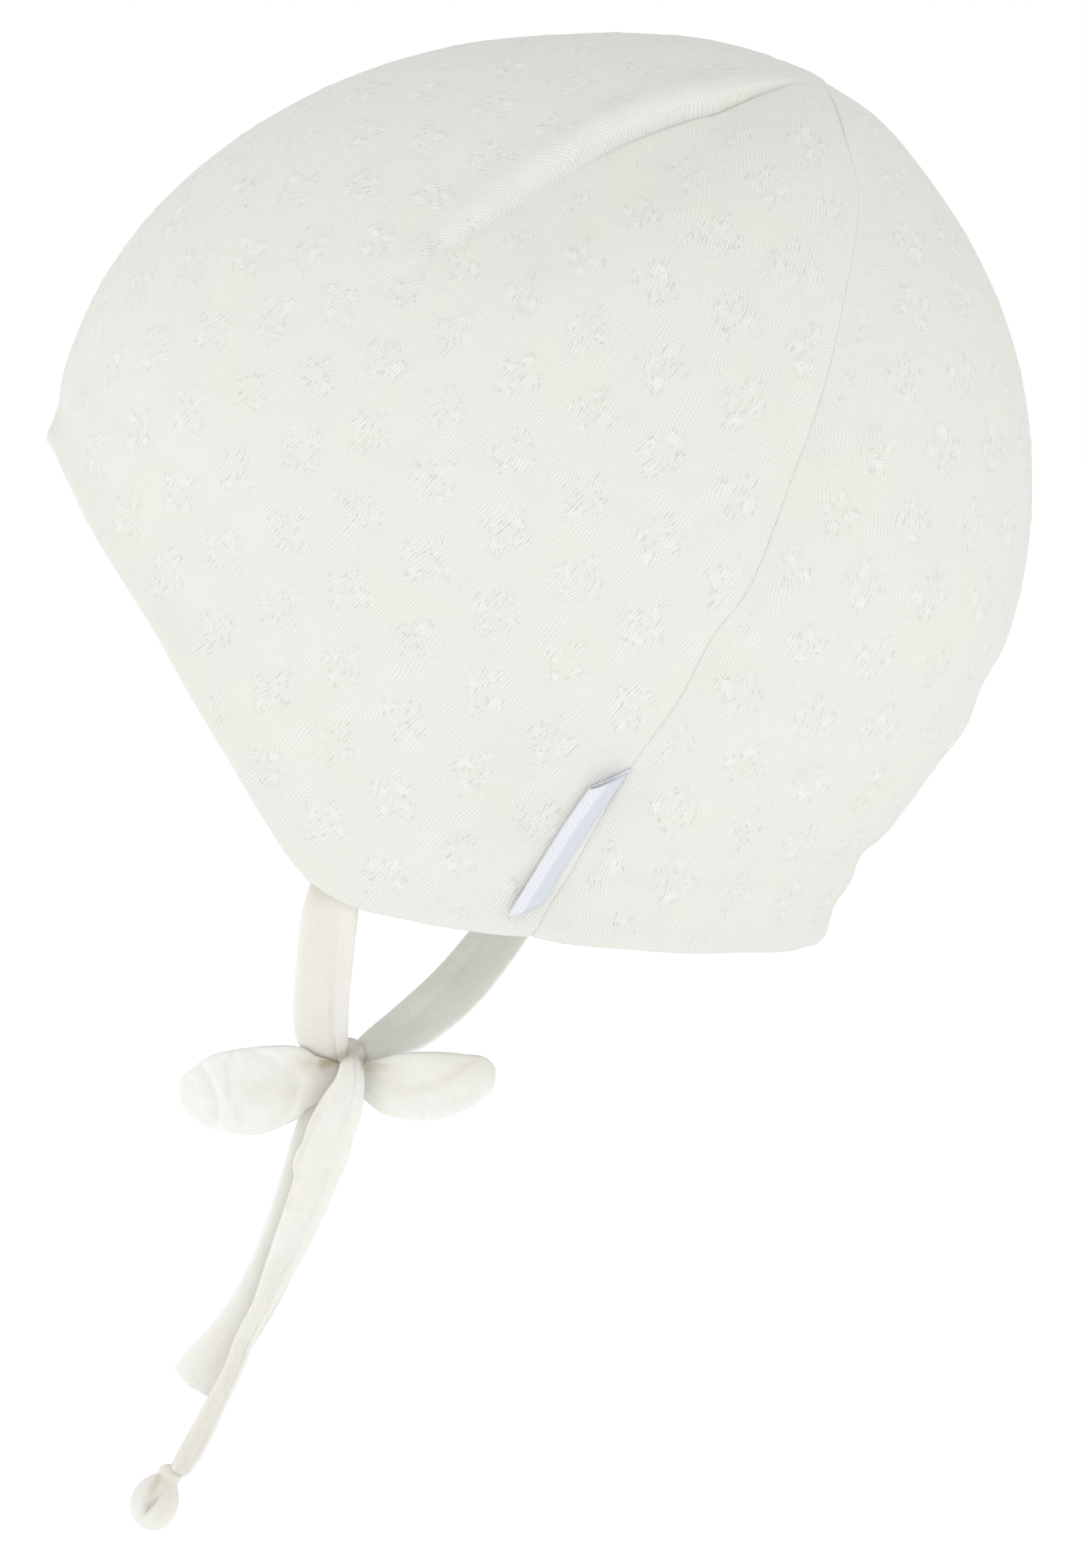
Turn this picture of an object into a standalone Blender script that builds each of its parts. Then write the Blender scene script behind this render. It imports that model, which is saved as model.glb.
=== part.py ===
"""A baby's jersey beanie with ear flaps and two flat ties that meet in a bow under the chin.

Metres, +Z up. The face looks along -Y and the wearer's left is +X. The origin is where the crown bears on the
head: the inner face of the cap, straight above the middle of the head.
"""
import math

import bmesh
import bpy
from mathutils import Vector

# Head form
HALF_WIDTH = 0.0625
HALF_LENGTH = 0.0845
CROWN_HEIGHT = 0.0752
SQUARENESS = 2.05

# Cloth
WALL = 0.0020
SEAM_GAP = 0.0005
SEAM_PINCH = 0.0010
SEAM_PINCH_WIDTH = 0.0045
CROWN_SHARE = 0.14
HEM_ROLL = 0.0007
HEM_ROLL_WIDTH = 0.0050

# Crown dart
DART_RIDGE = 0.0020
DART_RIDGE_OFFSET = 0.0030
DART_RIDGE_WIDTH = 0.0028
DART_CREASE = 0.0014
DART_CREASE_WIDTH = 0.0012
DART_TUCK = 0.0022
DART_TUCK_WIDTH = 0.0110
DART_SHARE = 0.50
DART_FADE = 0.14

# Ties, their bow and the ribbon label. The knot's depth is along X, its width along Y.
TIE_WIDTH = 0.0090
TIE_THICKNESS = 0.0020
TIE_TUCK = 0.0080
STATION_SPACING = 0.0042
LABEL_THICKNESS = 0.0010
LABEL_LIFT = 0.0022
CLEARANCE = 0.0003
KNOT_WIDTH = 0.0066
KNOT_HEIGHT = 0.0092
KNOT_DEPTH = 0.0090
END_LENGTH = 0.0128
END_WIDTH = 0.0086
END_THICKNESS = 0.0050
END_DENT = 0.0012

HEAD_CENTRE = Vector((0.0, 0.0, WALL - CROWN_HEIGHT))

# Middle outline of the head form. The angle is 0 at the back, 90 at the top and 180 at the front, and the reach
# is a share of the half length and the crown height. The rows below the cap shape how its sides narrow towards
# the jaw.
PROFILE = (  # angle, reach
    (-165, 1.060),
    (-150, 1.180),
    (-120, 1.560),
    (-90, 1.640),
    (-74, 1.380),
    (-61, 1.150),
    (-51, 1.060),
    (-40, 1.016),
    (-25, 1.004),
    (0, 0.992),
    (22, 1.010),
    (40, 1.038),
    (53, 1.070),
    (66, 1.064),
    (80, 1.027),
    (90, 1.006),
    (120, 0.996),
    (150, 1.014),
    (170, 1.021),
    (180, 1.022),
)

# Places seen from the side: along is a share of the half length, up a share of the crown height. The half
# width there follows from the head form.
CROWN_POINT = (0.588, 0.905)
FACE_EDGE_UPPER = (  # along, up
    (-1.024, 0.108),
    (-0.972, 0.104),
    (-0.900, 0.084),
    (-0.811, -0.006),
)
FACE_EDGE_LOWER = (  # along, up
    (-0.811, -0.006),
    (-0.716, -0.124),
    (-0.592, -0.272),
    (-0.496, -0.416),
    (-0.406, -0.562),
    (-0.328, -0.708),
    (-0.287, -0.780),
    (-0.248, -0.832),
)
HEM_FRONT = (  # along, up
    (-0.248, -0.832),
    (-0.203, -0.864),
    (-0.142, -0.892),
    (-0.040, -0.913),
    (0.081, -0.934),
    (0.188, -0.951),
)
HEM_BACK = (  # along, up
    (0.188, -0.951),
    (0.350, -0.976),
    (0.470, -0.994),
    (0.550, -1.003),
    (0.592, -1.006),
)

# Lines from the crown point to the rim, with their own first and last places left out
MIDDLE_FRONT = (  # along, up
    (0.300, 0.985),
    (0.000, 1.000),
    (-0.350, 0.930),
    (-0.640, 0.770),
    (-0.870, 0.500),
)
DART_LINE = (  # along, up
    (0.489, 0.865),
    (0.434, 0.845),
    (0.302, 0.769),
    (0.212, 0.695),
    (0.092, 0.584),
    (0.018, 0.530),
    (-0.280, 0.355),
    (-0.560, 0.175),
)
EAR_LINE = (  # along, up
    (0.545, 0.700),
    (0.430, 0.430),
    (0.270, 0.100),
    (0.080, -0.240),
    (-0.100, -0.560),
)
SIDE_SEAM = (  # along, up
    (0.683, 0.785),
    (0.735, 0.669),
    (0.760, 0.510),
    (0.761, 0.427),
    (0.744, 0.210),
    (0.699, 0.029),
    (0.631, -0.187),
    (0.567, -0.291),
    (0.485, -0.445),
    (0.390, -0.590),
)
MIDDLE_BACK = (  # along, up
    (0.760, 0.700),
    (0.920, 0.400),
    (0.992, 0.000),
    (0.930, -0.370),
    (0.760, -0.680),
    (0.650, -0.840),
)

# Soft folds and dents, each a line from one place to another with its half width and its depth as shares of the
# half length; a raised fold has a negative depth.
FOLDS = (  # from_along, from_up, to_along, to_up, half_width, depth
    (0.70, -0.84, 0.34, -0.80, 0.040, 0.018),
    (0.20, -0.62, 0.24, -0.52, 0.100, 0.016),
    (0.56, -0.33, 0.90, -0.44, 0.060, 0.010),
    (0.58, -0.44, 0.90, -0.56, 0.050, -0.006),
    (0.24, 0.60, 0.44, 0.74, 0.110, 0.020),
    (-0.80, 0.26, -0.36, -0.10, 0.060, 0.007),
    (-0.66, 0.02, -0.20, -0.36, 0.055, 0.008),
    (-0.50, -0.24, -0.06, -0.56, 0.050, 0.008),
)

# Where each panel has its columns, as shares of the way from one line to the next, and its rows, as shares of
# the way from the crown point to the rim
FOREHEAD_COLUMNS = (0.0, 0.14, 0.28, 0.42, 0.56, 0.69, 0.80, 0.88, 0.94, 0.975, 1.0)
CHEEK_COLUMNS = (0.0, 0.03, 0.08, 0.16, 0.27, 0.40, 0.53, 0.66, 0.80, 0.91, 1.0)
FLAP_COLUMNS = (0.0, 0.16, 0.32, 0.49, 0.66, 0.82, 0.93, 1.0)
BACK_COLUMNS = (0.0, 0.05, 0.13, 0.23, 0.34, 0.45, 0.56, 0.67, 0.78, 0.89, 1.0)
PANEL_ROWS = tuple(row / 16 for row in range(16)) + (0.962, 0.984, 1.0)

# Ribbon label on the left side seam, seen from the side
LABEL_ROOT = ((0.392, -0.588), (0.345, -0.665), (0.300, -0.742), (0.255, -0.815), (0.218, -0.880))
LABEL_EDGE = ((0.318, -0.625), (0.275, -0.695), (0.232, -0.765), (0.190, -0.835), (0.148, -0.905))

# Where the ties are sewn in, seen from the side, and how far apart their stations on the flap are
TIE_SEAT = (-0.212, -0.842)

# Routes of the ties, of the bow's loops and of the free ends. Each row is a place on the middle of the flat
# tube, in metres, its width there as a share of the tie's width, and the direction across it.
TIE_LEFT = (  # x, y, z, width, across x, across y, across z
    (0.0500, -0.0190, -0.1422, 1.04, -0.05, 1.0, 0.00),
    (0.0440, -0.0221, -0.1484, 1.04, -0.15, 1.0, 0.00),
    (0.0350, -0.0262, -0.1547, 1.04, -0.22, 1.0, 0.00),
    (0.0250, -0.0305, -0.1601, 1.04, -0.26, 1.0, 0.02),
    (0.0150, -0.0342, -0.1650, 1.02, -0.30, 1.0, 0.05),
    (0.0080, -0.0360, -0.1674, 0.92, -0.32, 1.0, 0.08),
    (0.0054, -0.0370, -0.1698, 0.60, -0.20, 1.0, 0.08),
)
TIE_RIGHT = (  # x, y, z, width, across x, across y, across z
    (-0.0500, -0.0204, -0.1450, 1.00, -0.15, 0.9, -0.25),
    (-0.0450, -0.0228, -0.1513, 1.00, -0.18, 0.8, -0.45),
    (-0.0350, -0.0254, -0.1584, 1.04, -0.20, 0.7, -0.60),
    (-0.0250, -0.0270, -0.1630, 1.04, -0.20, 0.7, -0.65),
    (-0.0150, -0.0298, -0.1668, 1.00, -0.20, 0.7, -0.60),
    (-0.0082, -0.0332, -0.1686, 0.80, -0.20, 0.8, -0.50),
    (-0.0050, -0.0352, -0.1698, 0.52, -0.20, 0.8, -0.40),
)
LOOP_FRONT = (  # x, y, z, width, across x, across y, across z
    (0.0017, -0.0396, -0.1726, 0.54, 0.10, 0.0, 1.0),
    (0.0056, -0.0450, -0.1736, 1.10, 0.15, 0.0, 1.0),
    (0.0064, -0.0538, -0.1754, 1.28, 0.15, 0.0, 1.0),
    (0.0042, -0.0608, -0.1774, 1.04, 0.10, -0.15, 1.0),
    (0.0000, -0.0642, -0.1788, 0.70, 0.00, -0.25, 1.0),
    (-0.0038, -0.0612, -0.1803, 0.98, -0.10, -0.15, 1.0),
    (-0.0050, -0.0530, -0.1806, 1.16, -0.15, 0.0, 1.0),
    (-0.0040, -0.0454, -0.1786, 0.85, -0.15, 0.0, 1.0),
    (-0.0017, -0.0396, -0.1748, 0.50, -0.10, 0.0, 1.0),
)
LOOP_BACK = (  # x, y, z, width, across x, across y, across z
    (0.0017, -0.0320, -0.1732, 0.50, 0.10, 0.0, 1.0),
    (0.0052, -0.0264, -0.1742, 0.98, 0.15, 0.0, 1.0),
    (0.0060, -0.0186, -0.1740, 1.14, 0.15, 0.0, 1.0),
    (0.0038, -0.0122, -0.1740, 0.84, 0.10, 0.10, 1.0),
    (0.0000, -0.0094, -0.1745, 0.56, 0.00, 0.20, 1.0),
    (-0.0036, -0.0128, -0.1760, 0.86, -0.10, 0.10, 1.0),
    (-0.0050, -0.0194, -0.1774, 1.08, -0.15, 0.0, 1.0),
    (-0.0040, -0.0264, -0.1772, 0.96, -0.15, 0.0, 1.0),
    (-0.0017, -0.0320, -0.1744, 0.52, -0.10, 0.0, 1.0),
)
TAIL_LONG = (  # x, y, z, width, across x, across y, across z
    (0.0056, -0.0333, -0.1713, 0.50, -0.34, 0.94, -0.10),
    (0.0066, -0.0328, -0.1762, 0.72, -0.34, 0.94, -0.15),
    (0.0068, -0.0351, -0.1817, 0.84, -0.34, 0.94, -0.30),
    (0.0063, -0.0380, -0.1877, 0.88, -0.34, 0.94, -0.35),
    (0.0058, -0.0403, -0.1951, 0.78, -0.34, 0.94, -0.35),
    (0.0052, -0.0440, -0.2030, 0.60, -0.34, 0.94, -0.40),
    (0.0048, -0.0486, -0.2108, 0.42, -0.34, 0.94, -0.50),
    (0.0044, -0.0524, -0.2174, 0.36, -0.34, 0.94, -0.50),
    (0.0040, -0.0544, -0.2224, 0.40, -0.34, 0.94, -0.45),
    (0.0036, -0.0585, -0.2315, 0.44, -0.34, 0.94, -0.45),
    (0.0032, -0.0620, -0.2381, 0.42, -0.34, 0.94, -0.50),
    (0.0030, -0.0655, -0.2426, 0.30, -0.34, 0.94, -0.60),
)
TAIL_SHORT = (  # x, y, z, width, across x, across y, across z
    (0.0018, -0.0374, -0.1772, 0.66, -0.34, 0.94, -0.20),
    (0.0026, -0.0389, -0.1815, 0.86, -0.34, 0.94, -0.25),
    (0.0026, -0.0406, -0.1871, 0.95, -0.34, 0.94, -0.25),
    (0.0022, -0.0429, -0.1942, 1.00, -0.34, 0.94, -0.30),
    (0.0018, -0.0477, -0.2053, 0.88, -0.34, 0.94, -0.40),
    (0.0012, -0.0524, -0.2143, 0.86, -0.34, 0.94, -0.55),
    (0.0006, -0.0580, -0.2218, 0.96, -0.34, 0.94, -0.75),
    (0.0000, -0.0644, -0.2304, 1.02, -0.34, 0.94, -0.70),
)
KNOT_PLACE = (0.0, -0.0359, -0.1724)
END_FROM = (0.0030, -0.0664, -0.2428)
END_AXIS = (0.0, -0.50, -0.87)

# The long tail's end: a small knot, then the puffed open end. Along and across are shares of its length and
# width.
END_SHAPE = (  # along, across
    (0.00, 0.00),
    (0.05, 0.38),
    (0.13, 0.52),
    (0.21, 0.42),
    (0.30, 0.62),
    (0.44, 0.90),
    (0.60, 1.00),
    (0.78, 0.86),
    (0.92, 0.52),
    (1.00, 0.00),
)

# Finishes: colour, roughness
JERSEY = ((0.82, 0.82, 0.78, 1.0), 0.9)
SATIN = ((0.80, 0.84, 0.90, 1.0), 0.4)


def reach(angle):
    """Distance to the middle outline at an angle in degrees, as a share, on a smooth closed curve."""
    count = len(PROFILE)
    last = max(index for index in range(-1, count) if profile_row(index)[0] <= angle)
    (a0, r0), (a1, r1), (a2, r2), (a3, r3) = (profile_row(last + step) for step in (-1, 0, 1, 2))
    share = (angle - a1) / (a2 - a1)
    slope_in = (r2 - r0) / (a2 - a0) * (a2 - a1)
    slope_out = (r3 - r1) / (a3 - a1) * (a2 - a1)
    cube, square = share ** 3, share ** 2
    return ((2 * cube - 3 * square + 1) * r1 + (cube - 2 * square + share) * slope_in
            + (3 * square - 2 * cube) * r2 + (cube - square) * slope_out)


def profile_row(index):
    """A row of the profile table, which goes on around the circle at both ends."""
    turns, place = divmod(index, len(PROFILE))
    angle, share = PROFILE[place]
    return angle + 360 * turns, share


def on_form(direction):
    """Place on the head form in a direction from the head centre, in shares of the three half sizes."""
    side_reach = math.hypot(direction.y, direction.z)
    outline = reach(math.degrees(math.atan2(direction.z, direction.y)))
    size = ((side_reach / outline) ** SQUARENESS + abs(direction.x) ** SQUARENESS) ** (-1 / SQUARENESS)
    scaled = Vector((direction.x * HALF_WIDTH, direction.y * HALF_LENGTH, direction.z * CROWN_HEIGHT))
    return HEAD_CENTRE + scaled * size


def outward(direction):
    """Unit normal of the head form in a direction."""
    step = 0.01
    first = direction.orthogonal().normalized() * step
    second = direction.cross(first).normalized() * step
    along_first = on_form(direction + first) - on_form(direction - first)
    along_second = on_form(direction + second) - on_form(direction - second)
    normal = along_first.cross(along_second).normalized()
    return normal if normal.dot(on_form(direction) - HEAD_CENTRE) > 0 else -normal


def direction_at(along, up):
    """Direction to the place on the left half of the form that is seen at these shares from the side."""
    share = math.hypot(along, up) / reach(math.degrees(math.atan2(up, along)))
    half = max(0.0, 1 - min(share, 1.0) ** SQUARENESS) ** (1 / SQUARENESS)
    return Vector((half, along, up)).normalized()


def smooth_path(rows, per_span=12):
    """Points on a smooth curve through the rows, which may hold any number of values."""
    rows = [Vector(row) for row in rows]
    padded = [2 * rows[0] - rows[1]] + rows + [2 * rows[-1] - rows[-2]]
    points = []
    for before, start, end, after in zip(padded, padded[1:], padded[2:], padded[3:]):
        for step in range(per_span):
            share = step / per_span
            cube, square = share ** 3, share ** 2
            points.append(0.5 * (2 * start + (end - before) * share
                                 + (2 * before - 5 * start + 4 * end - after) * square
                                 + (3 * start - before - 3 * end + after) * cube))
    return points + [rows[-1]]


def spaced(points, shares, place=lambda point: point):
    """Points read from a path at shares of its length, where place gives the point's place in space."""
    places = [place(point) for point in points]
    travelled = [0.0]
    for start, end in zip(places, places[1:]):
        travelled.append(travelled[-1] + (end - start).length)
    found = []
    span = 0
    for share in shares:
        target = share * travelled[-1]
        while span < len(points) - 2 and travelled[span + 1] < target:
            span += 1
        part = (target - travelled[span]) / max(travelled[span + 1] - travelled[span], 1e-9)
        found.append(points[span].lerp(points[span + 1], min(max(part, 0.0), 1.0)))
    return found


def guide(middle_rows, rim_place):
    """Directions along a line from the crown point to the rim, one for each row of a panel."""
    rows = (CROWN_POINT,) + middle_rows + (rim_place,)
    path = smooth_path([direction_at(*row) for row in rows])
    stations = spaced(path, PANEL_ROWS, lambda point: on_form(point.normalized()))
    return [point.normalized() for point in stations]


def strip(first, second, rim_rows, columns):
    """Directions for each column and row of the strip between two guides, whose last row follows the rim."""
    path = smooth_path([direction_at(*row) for row in rim_rows])
    rim = spaced(path, columns, lambda point: on_form(point.normalized()))
    found = []
    for share, rim_point in zip(columns, rim):
        correction = rim_point - first[-1].lerp(second[-1], share)
        found.append([(start.lerp(end, share) + correction * row ** 2).normalized()
                      for start, end, row in zip(first, second, PANEL_ROWS)])
    return found


def bump(distance, width):
    """1 in the middle of a fold, falling smoothly to 0."""
    return math.exp(-(distance / width) ** 2)


def fold_height(point):
    """Height of the soft folds and dents at a place, negative where they sink."""
    height = 0.0
    place = Vector((point.y, point.z - HEAD_CENTRE.z))
    for from_along, from_up, to_along, to_up, half_width, depth in FOLDS:
        start = Vector((from_along * HALF_LENGTH, from_up * CROWN_HEIGHT))
        run = Vector((to_along * HALF_LENGTH, to_up * CROWN_HEIGHT)) - start
        share = min(max((place - start).dot(run) / run.length_squared, 0.0), 1.0)
        height -= depth * HALF_LENGTH * bump((place - start - run * share).length, half_width * HALF_LENGTH)
    return height


def hem_height(rim_distance):
    """The turned edge is a soft roll with a shallow valley above it."""
    roll = HEM_ROLL * bump(rim_distance - 0.3 * HEM_ROLL_WIDTH, 0.5 * HEM_ROLL_WIDTH)
    valley = 0.7 * HEM_ROLL * bump(rim_distance - 1.7 * HEM_ROLL_WIDTH, 0.7 * HEM_ROLL_WIDTH)
    return roll - valley


def dart_height(across, row):
    """The dart's rolled ridge on its upper side, its crease, and the cloth tucked under its lower side."""
    strength = min(1.0, row / CROWN_SHARE) / (1 + math.exp((row - DART_SHARE) / (0.25 * DART_FADE)))
    crease = -DART_CREASE * bump(across, DART_CREASE_WIDTH)
    if across < 0:
        return strength * (crease + DART_RIDGE * bump(across + DART_RIDGE_OFFSET, DART_RIDGE_WIDTH))
    return strength * (crease - DART_TUCK * bump(across, DART_TUCK_WIDTH))


def relief(columns, seam_column, dart_column=None):
    """Places of a panel's points, with its folds, its dart, its pinched seam and its rolled hem."""
    flat = [[on_form(direction) for direction in column] for column in columns]
    places = []
    for column, points in zip(columns, flat):
        length = sum((end - start).length for start, end in zip(points, points[1:]))
        lifted = []
        for row, (direction, point) in enumerate(zip(column, points)):
            height = fold_height(point) + hem_height((1 - PANEL_ROWS[row]) * length)
            pinch = SEAM_PINCH * min(1.0, PANEL_ROWS[row] / CROWN_SHARE)
            height -= pinch * bump((point - flat[seam_column][row]).length, SEAM_PINCH_WIDTH)
            if dart_column is not None:
                across = (point - flat[dart_column][row]).length
                side = 1 if columns.index(column) >= dart_column else -1
                height += dart_height(side * across, PANEL_ROWS[row])
            lifted.append(point + outward(direction) * height)
        places.append(lifted)
    return places


def open_seam(places, seam_column, next_column):
    """Draws a panel's seam edge back by half the seam gap, so that the panels stay apart."""
    for row, point in enumerate(places[seam_column]):
        if row:
            inwards = (places[next_column][row] - point).normalized()
            places[seam_column][row] = point + inwards * SEAM_GAP / 2


def grid_mesh(name, places):
    """Mesh of a grid whose points lie at places[column][row]."""
    last_column, last_row = len(places) - 1, len(places[0]) - 1
    mesh = bmesh.new()
    bmesh.ops.create_grid(mesh, x_segments=last_column, y_segments=last_row, size=0.5)
    for vertex in mesh.verts:
        column = round((vertex.co.x + 0.5) * last_column)
        row = round((vertex.co.y + 0.5) * last_row)
        vertex.co = places[column][row]
    bmesh.ops.remove_doubles(mesh, verts=mesh.verts, dist=1e-6)
    bmesh.ops.recalc_face_normals(mesh, faces=mesh.faces)
    data = bpy.data.meshes.new(name)
    mesh.to_mesh(data)
    mesh.free()
    return data


def face_away(data, centre):
    """Turns an open sheet so that its faces point away from a place."""
    total = sum((Vector(face.center) - centre).normalized().dot(face.normal) for face in data.polygons)
    if total < 0:
        data.flip_normals()


def add_object(name, data, finish, collection):
    """Object with its own material, shaded smooth up to its sharp edges."""
    colour, roughness = finish
    material = bpy.data.materials.new(name)
    material.use_nodes = True
    shader = material.node_tree.nodes["Principled BSDF"]
    shader.inputs["Base Color"].default_value = colour
    shader.inputs["Roughness"].default_value = roughness
    data.materials.append(material)
    data.shade_smooth()
    data.set_sharp_from_angle(angle=math.radians(50))
    made = bpy.data.objects.new(name, data)
    collection.objects.link(made)
    return made


def add_wall(made, thickness, offset):
    """Gives an open sheet its thickness."""
    solid = made.modifiers.new("wall", "SOLIDIFY")
    solid.thickness = thickness
    solid.offset = offset


def add_mirror(made):
    """Completes a left half whose edge lies on the middle plane."""
    mirror = made.modifiers.new("right_half", "MIRROR")
    mirror.use_clip = True
    mirror.merge_threshold = 0.00005


def on_middle(places, column):
    """Puts a column exactly on the middle plane, with the crown point."""
    for point in places[column]:
        point.x = 0.0
    for points in places:
        points[0] = places[column][0].copy()


def front_panel(guides, collection):
    middle, dart, ear, seam = guides
    forehead = strip(middle, dart, FACE_EDGE_UPPER, FOREHEAD_COLUMNS)
    cheek = strip(dart, ear, FACE_EDGE_LOWER, CHEEK_COLUMNS)
    flap = strip(ear, seam, HEM_FRONT, FLAP_COLUMNS)
    columns = forehead + cheek[1:] + flap[1:]
    places = relief(columns, seam_column=-1, dart_column=len(forehead) - 1)
    open_seam(places, seam_column=-1, next_column=-2)
    places[0][0] += (places[0][1] - places[0][0]).normalized() * SEAM_GAP
    on_middle(places, column=0)
    data = grid_mesh("front_panel", places)
    face_away(data, HEAD_CENTRE)
    made = add_object("front_panel", data, JERSEY, collection)
    add_mirror(made)
    add_wall(made, WALL, -1)


def back_panel(guides, collection):
    seam, middle = guides
    columns = strip(seam, middle, HEM_BACK, BACK_COLUMNS)
    places = relief(columns, seam_column=0)
    open_seam(places, seam_column=0, next_column=1)
    places[-1][0] += (places[-1][1] - places[-1][0]).normalized() * SEAM_GAP
    on_middle(places, column=-1)
    data = grid_mesh("back_panel", places)
    face_away(data, HEAD_CENTRE)
    made = add_object("back_panel", data, JERSEY, collection)
    add_mirror(made)
    add_wall(made, WALL, -1)


def label_tab(collection):
    """The folded ribbon lies over the seam's front side and stands off at its free edge."""
    across_shares = (0.0, 0.25, 0.5, 0.75, 1.0)
    base = CLEARANCE + LABEL_THICKNESS / 2
    places = []
    for share in across_shares:
        column = []
        for root, edge in zip(LABEL_ROOT, LABEL_EDGE):
            along = root[0] + (edge[0] - root[0]) * share
            up = root[1] + (edge[1] - root[1]) * share
            direction = direction_at(along, up)
            point = on_form(direction)
            from_seam = (point - on_form(direction_at(*root))).length
            height = base + fold_height(point) + LABEL_LIFT * math.sin(share * math.pi / 2) ** 2
            height -= SEAM_PINCH * bump(from_seam, SEAM_PINCH_WIDTH)
            column.append(point + outward(direction) * height)
        places.append(column)
    data = grid_mesh("label_tab", places)
    face_away(data, HEAD_CENTRE)
    add_wall(add_object("label_tab", data, SATIN, collection), LABEL_THICKNESS, 0)


def tie_seat(side):
    """Rows of a tie's route where it lies on the inner face of its ear flap, down to the hem."""
    along, up = TIE_SEAT
    rows = []
    for tuck in (TIE_TUCK, TIE_TUCK / 2, 0.0):
        direction = direction_at(along, up + tuck / CROWN_HEIGHT)
        normal = outward(direction)
        place = on_form(direction) - normal * (WALL + HEM_ROLL + CLEARANCE + TIE_THICKNESS / 2)
        down = Vector((0.0, 0.0, -1.0))
        across = normal.cross(down).normalized()
        across *= 1 if across.y > 0 else -1
        rows.append((side * place.x, place.y, place.z, 1.0, side * across.x, across.y, across.z))
    return tuple(rows)


def ribbon(name, route, collection):
    """Flat tube along a route, with soft edges."""
    path = smooth_path(route)
    length = sum((end.xyz - start.xyz).length for start, end in zip(path, path[1:]))
    count = max(6, round(length / STATION_SPACING))
    stations = spaced(path, [step / count for step in range(count + 1)], lambda point: Vector(point[:3]))
    edges = ([], [], [])
    for index, station in enumerate(stations):
        here = Vector(station[:3])
        ahead = Vector(stations[min(index + 1, count)][:3]) - Vector(stations[max(index - 1, 0)][:3])
        across = Vector(station[4:7])
        across -= across.project(ahead)
        half = across.normalized() * TIE_WIDTH * station[3] / 2
        for column, side in zip(edges, (-1, 0, 1)):
            column.append(here + half * side)
    made = add_object(name, grid_mesh(name, edges), JERSEY, collection)
    add_wall(made, TIE_THICKNESS, 0)
    soften = made.modifiers.new("soft_edges", "BEVEL")
    soften.width = TIE_THICKNESS * 0.28
    soften.segments = 1
    soften.limit_method = "ANGLE"
    soften.angle_limit = math.radians(60)


def add_sphere(name, rings, place_point, collection):
    """Object from a sphere of diameter 1 whose points are moved by a function."""
    mesh = bmesh.new()
    bmesh.ops.create_uvsphere(mesh, u_segments=14, v_segments=rings, radius=0.5)
    for vertex in mesh.verts:
        vertex.co = place_point(vertex.co)
    data = bpy.data.meshes.new(name)
    mesh.to_mesh(data)
    mesh.free()
    add_object(name, data, JERSEY, collection)


def bow_knot(collection):
    """The wrap that holds the bow, a rounded form pulled in at its middle."""
    def place_point(point):
        waist = 1 - 0.12 * bump(point.z, 0.16)
        sized = Vector((point.x * KNOT_DEPTH, point.y * KNOT_WIDTH * waist, point.z * KNOT_HEIGHT))
        return sized + Vector(KNOT_PLACE)
    add_sphere("bow_knot", 10, place_point, collection)


def end_width(along):
    """Width of the long tail's end at a share of its length, as a share of its greatest width."""
    for (start, before), (end, after) in zip(END_SHAPE, END_SHAPE[1:]):
        if along <= end:
            return before + (after - before) * (along - start) / (end - start)
    return 0.0


def tail_end_knot(collection):
    """The small knot of the long tail and, under it, the tube's open end, slit on its left side."""
    axis = Vector(END_AXIS).normalized()
    thick = (Vector((1.0, 0.0, 0.0)) - Vector((1.0, 0.0, 0.0)).project(axis)).normalized()
    wide = axis.cross(thick)

    def place_point(point):
        along = 0.5 + math.asin(max(-1.0, min(1.0, 2 * point.z))) / math.pi
        ring = math.hypot(point.x, point.y)
        share = end_width(along) / 2
        beside, across = (point.x / ring * share, point.y / ring * share) if ring > 1e-6 else (0.0, 0.0)
        slit = END_DENT * bump(across, 0.12) * bump(along - 0.62, 0.22) if beside > 0 else 0.0
        return (Vector(END_FROM) + axis * along * END_LENGTH + wide * across * END_WIDTH
                + thick * (beside * END_THICKNESS - slit))
    add_sphere("tail_end_knot", 15, place_point, collection)


def clear_scene():
    for old in list(bpy.data.objects):
        bpy.data.objects.remove(old)


def main():
    clear_scene()
    collection = bpy.data.collections.new("baby_beanie")
    bpy.context.scene.collection.children.link(collection)
    middle_front = guide(MIDDLE_FRONT, FACE_EDGE_UPPER[0])
    dart = guide(DART_LINE, FACE_EDGE_LOWER[0])
    ear = guide(EAR_LINE, HEM_FRONT[0])
    seam = guide(SIDE_SEAM, HEM_BACK[0])
    middle_back = guide(MIDDLE_BACK, HEM_BACK[-1])
    front_panel((middle_front, dart, ear, seam), collection)
    back_panel((seam, middle_back), collection)
    label_tab(collection)
    ribbon("tie_left", tie_seat(1) + TIE_LEFT, collection)
    ribbon("tie_right", tie_seat(-1) + TIE_RIGHT, collection)
    bow_knot(collection)
    ribbon("bow_loop_front", LOOP_FRONT, collection)
    ribbon("bow_loop_back", LOOP_BACK, collection)
    ribbon("tail_long", TAIL_LONG, collection)
    ribbon("tail_short", TAIL_SHORT, collection)
    tail_end_knot(collection)


main()
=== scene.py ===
"""Looks of a baby's jersey beanie with ear flaps, a crown dart on each side and two flat ties in a bow.

Metres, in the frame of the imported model: +Z up, the face looks along -Y and the wearer's left is +X.
"""
import math

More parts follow.
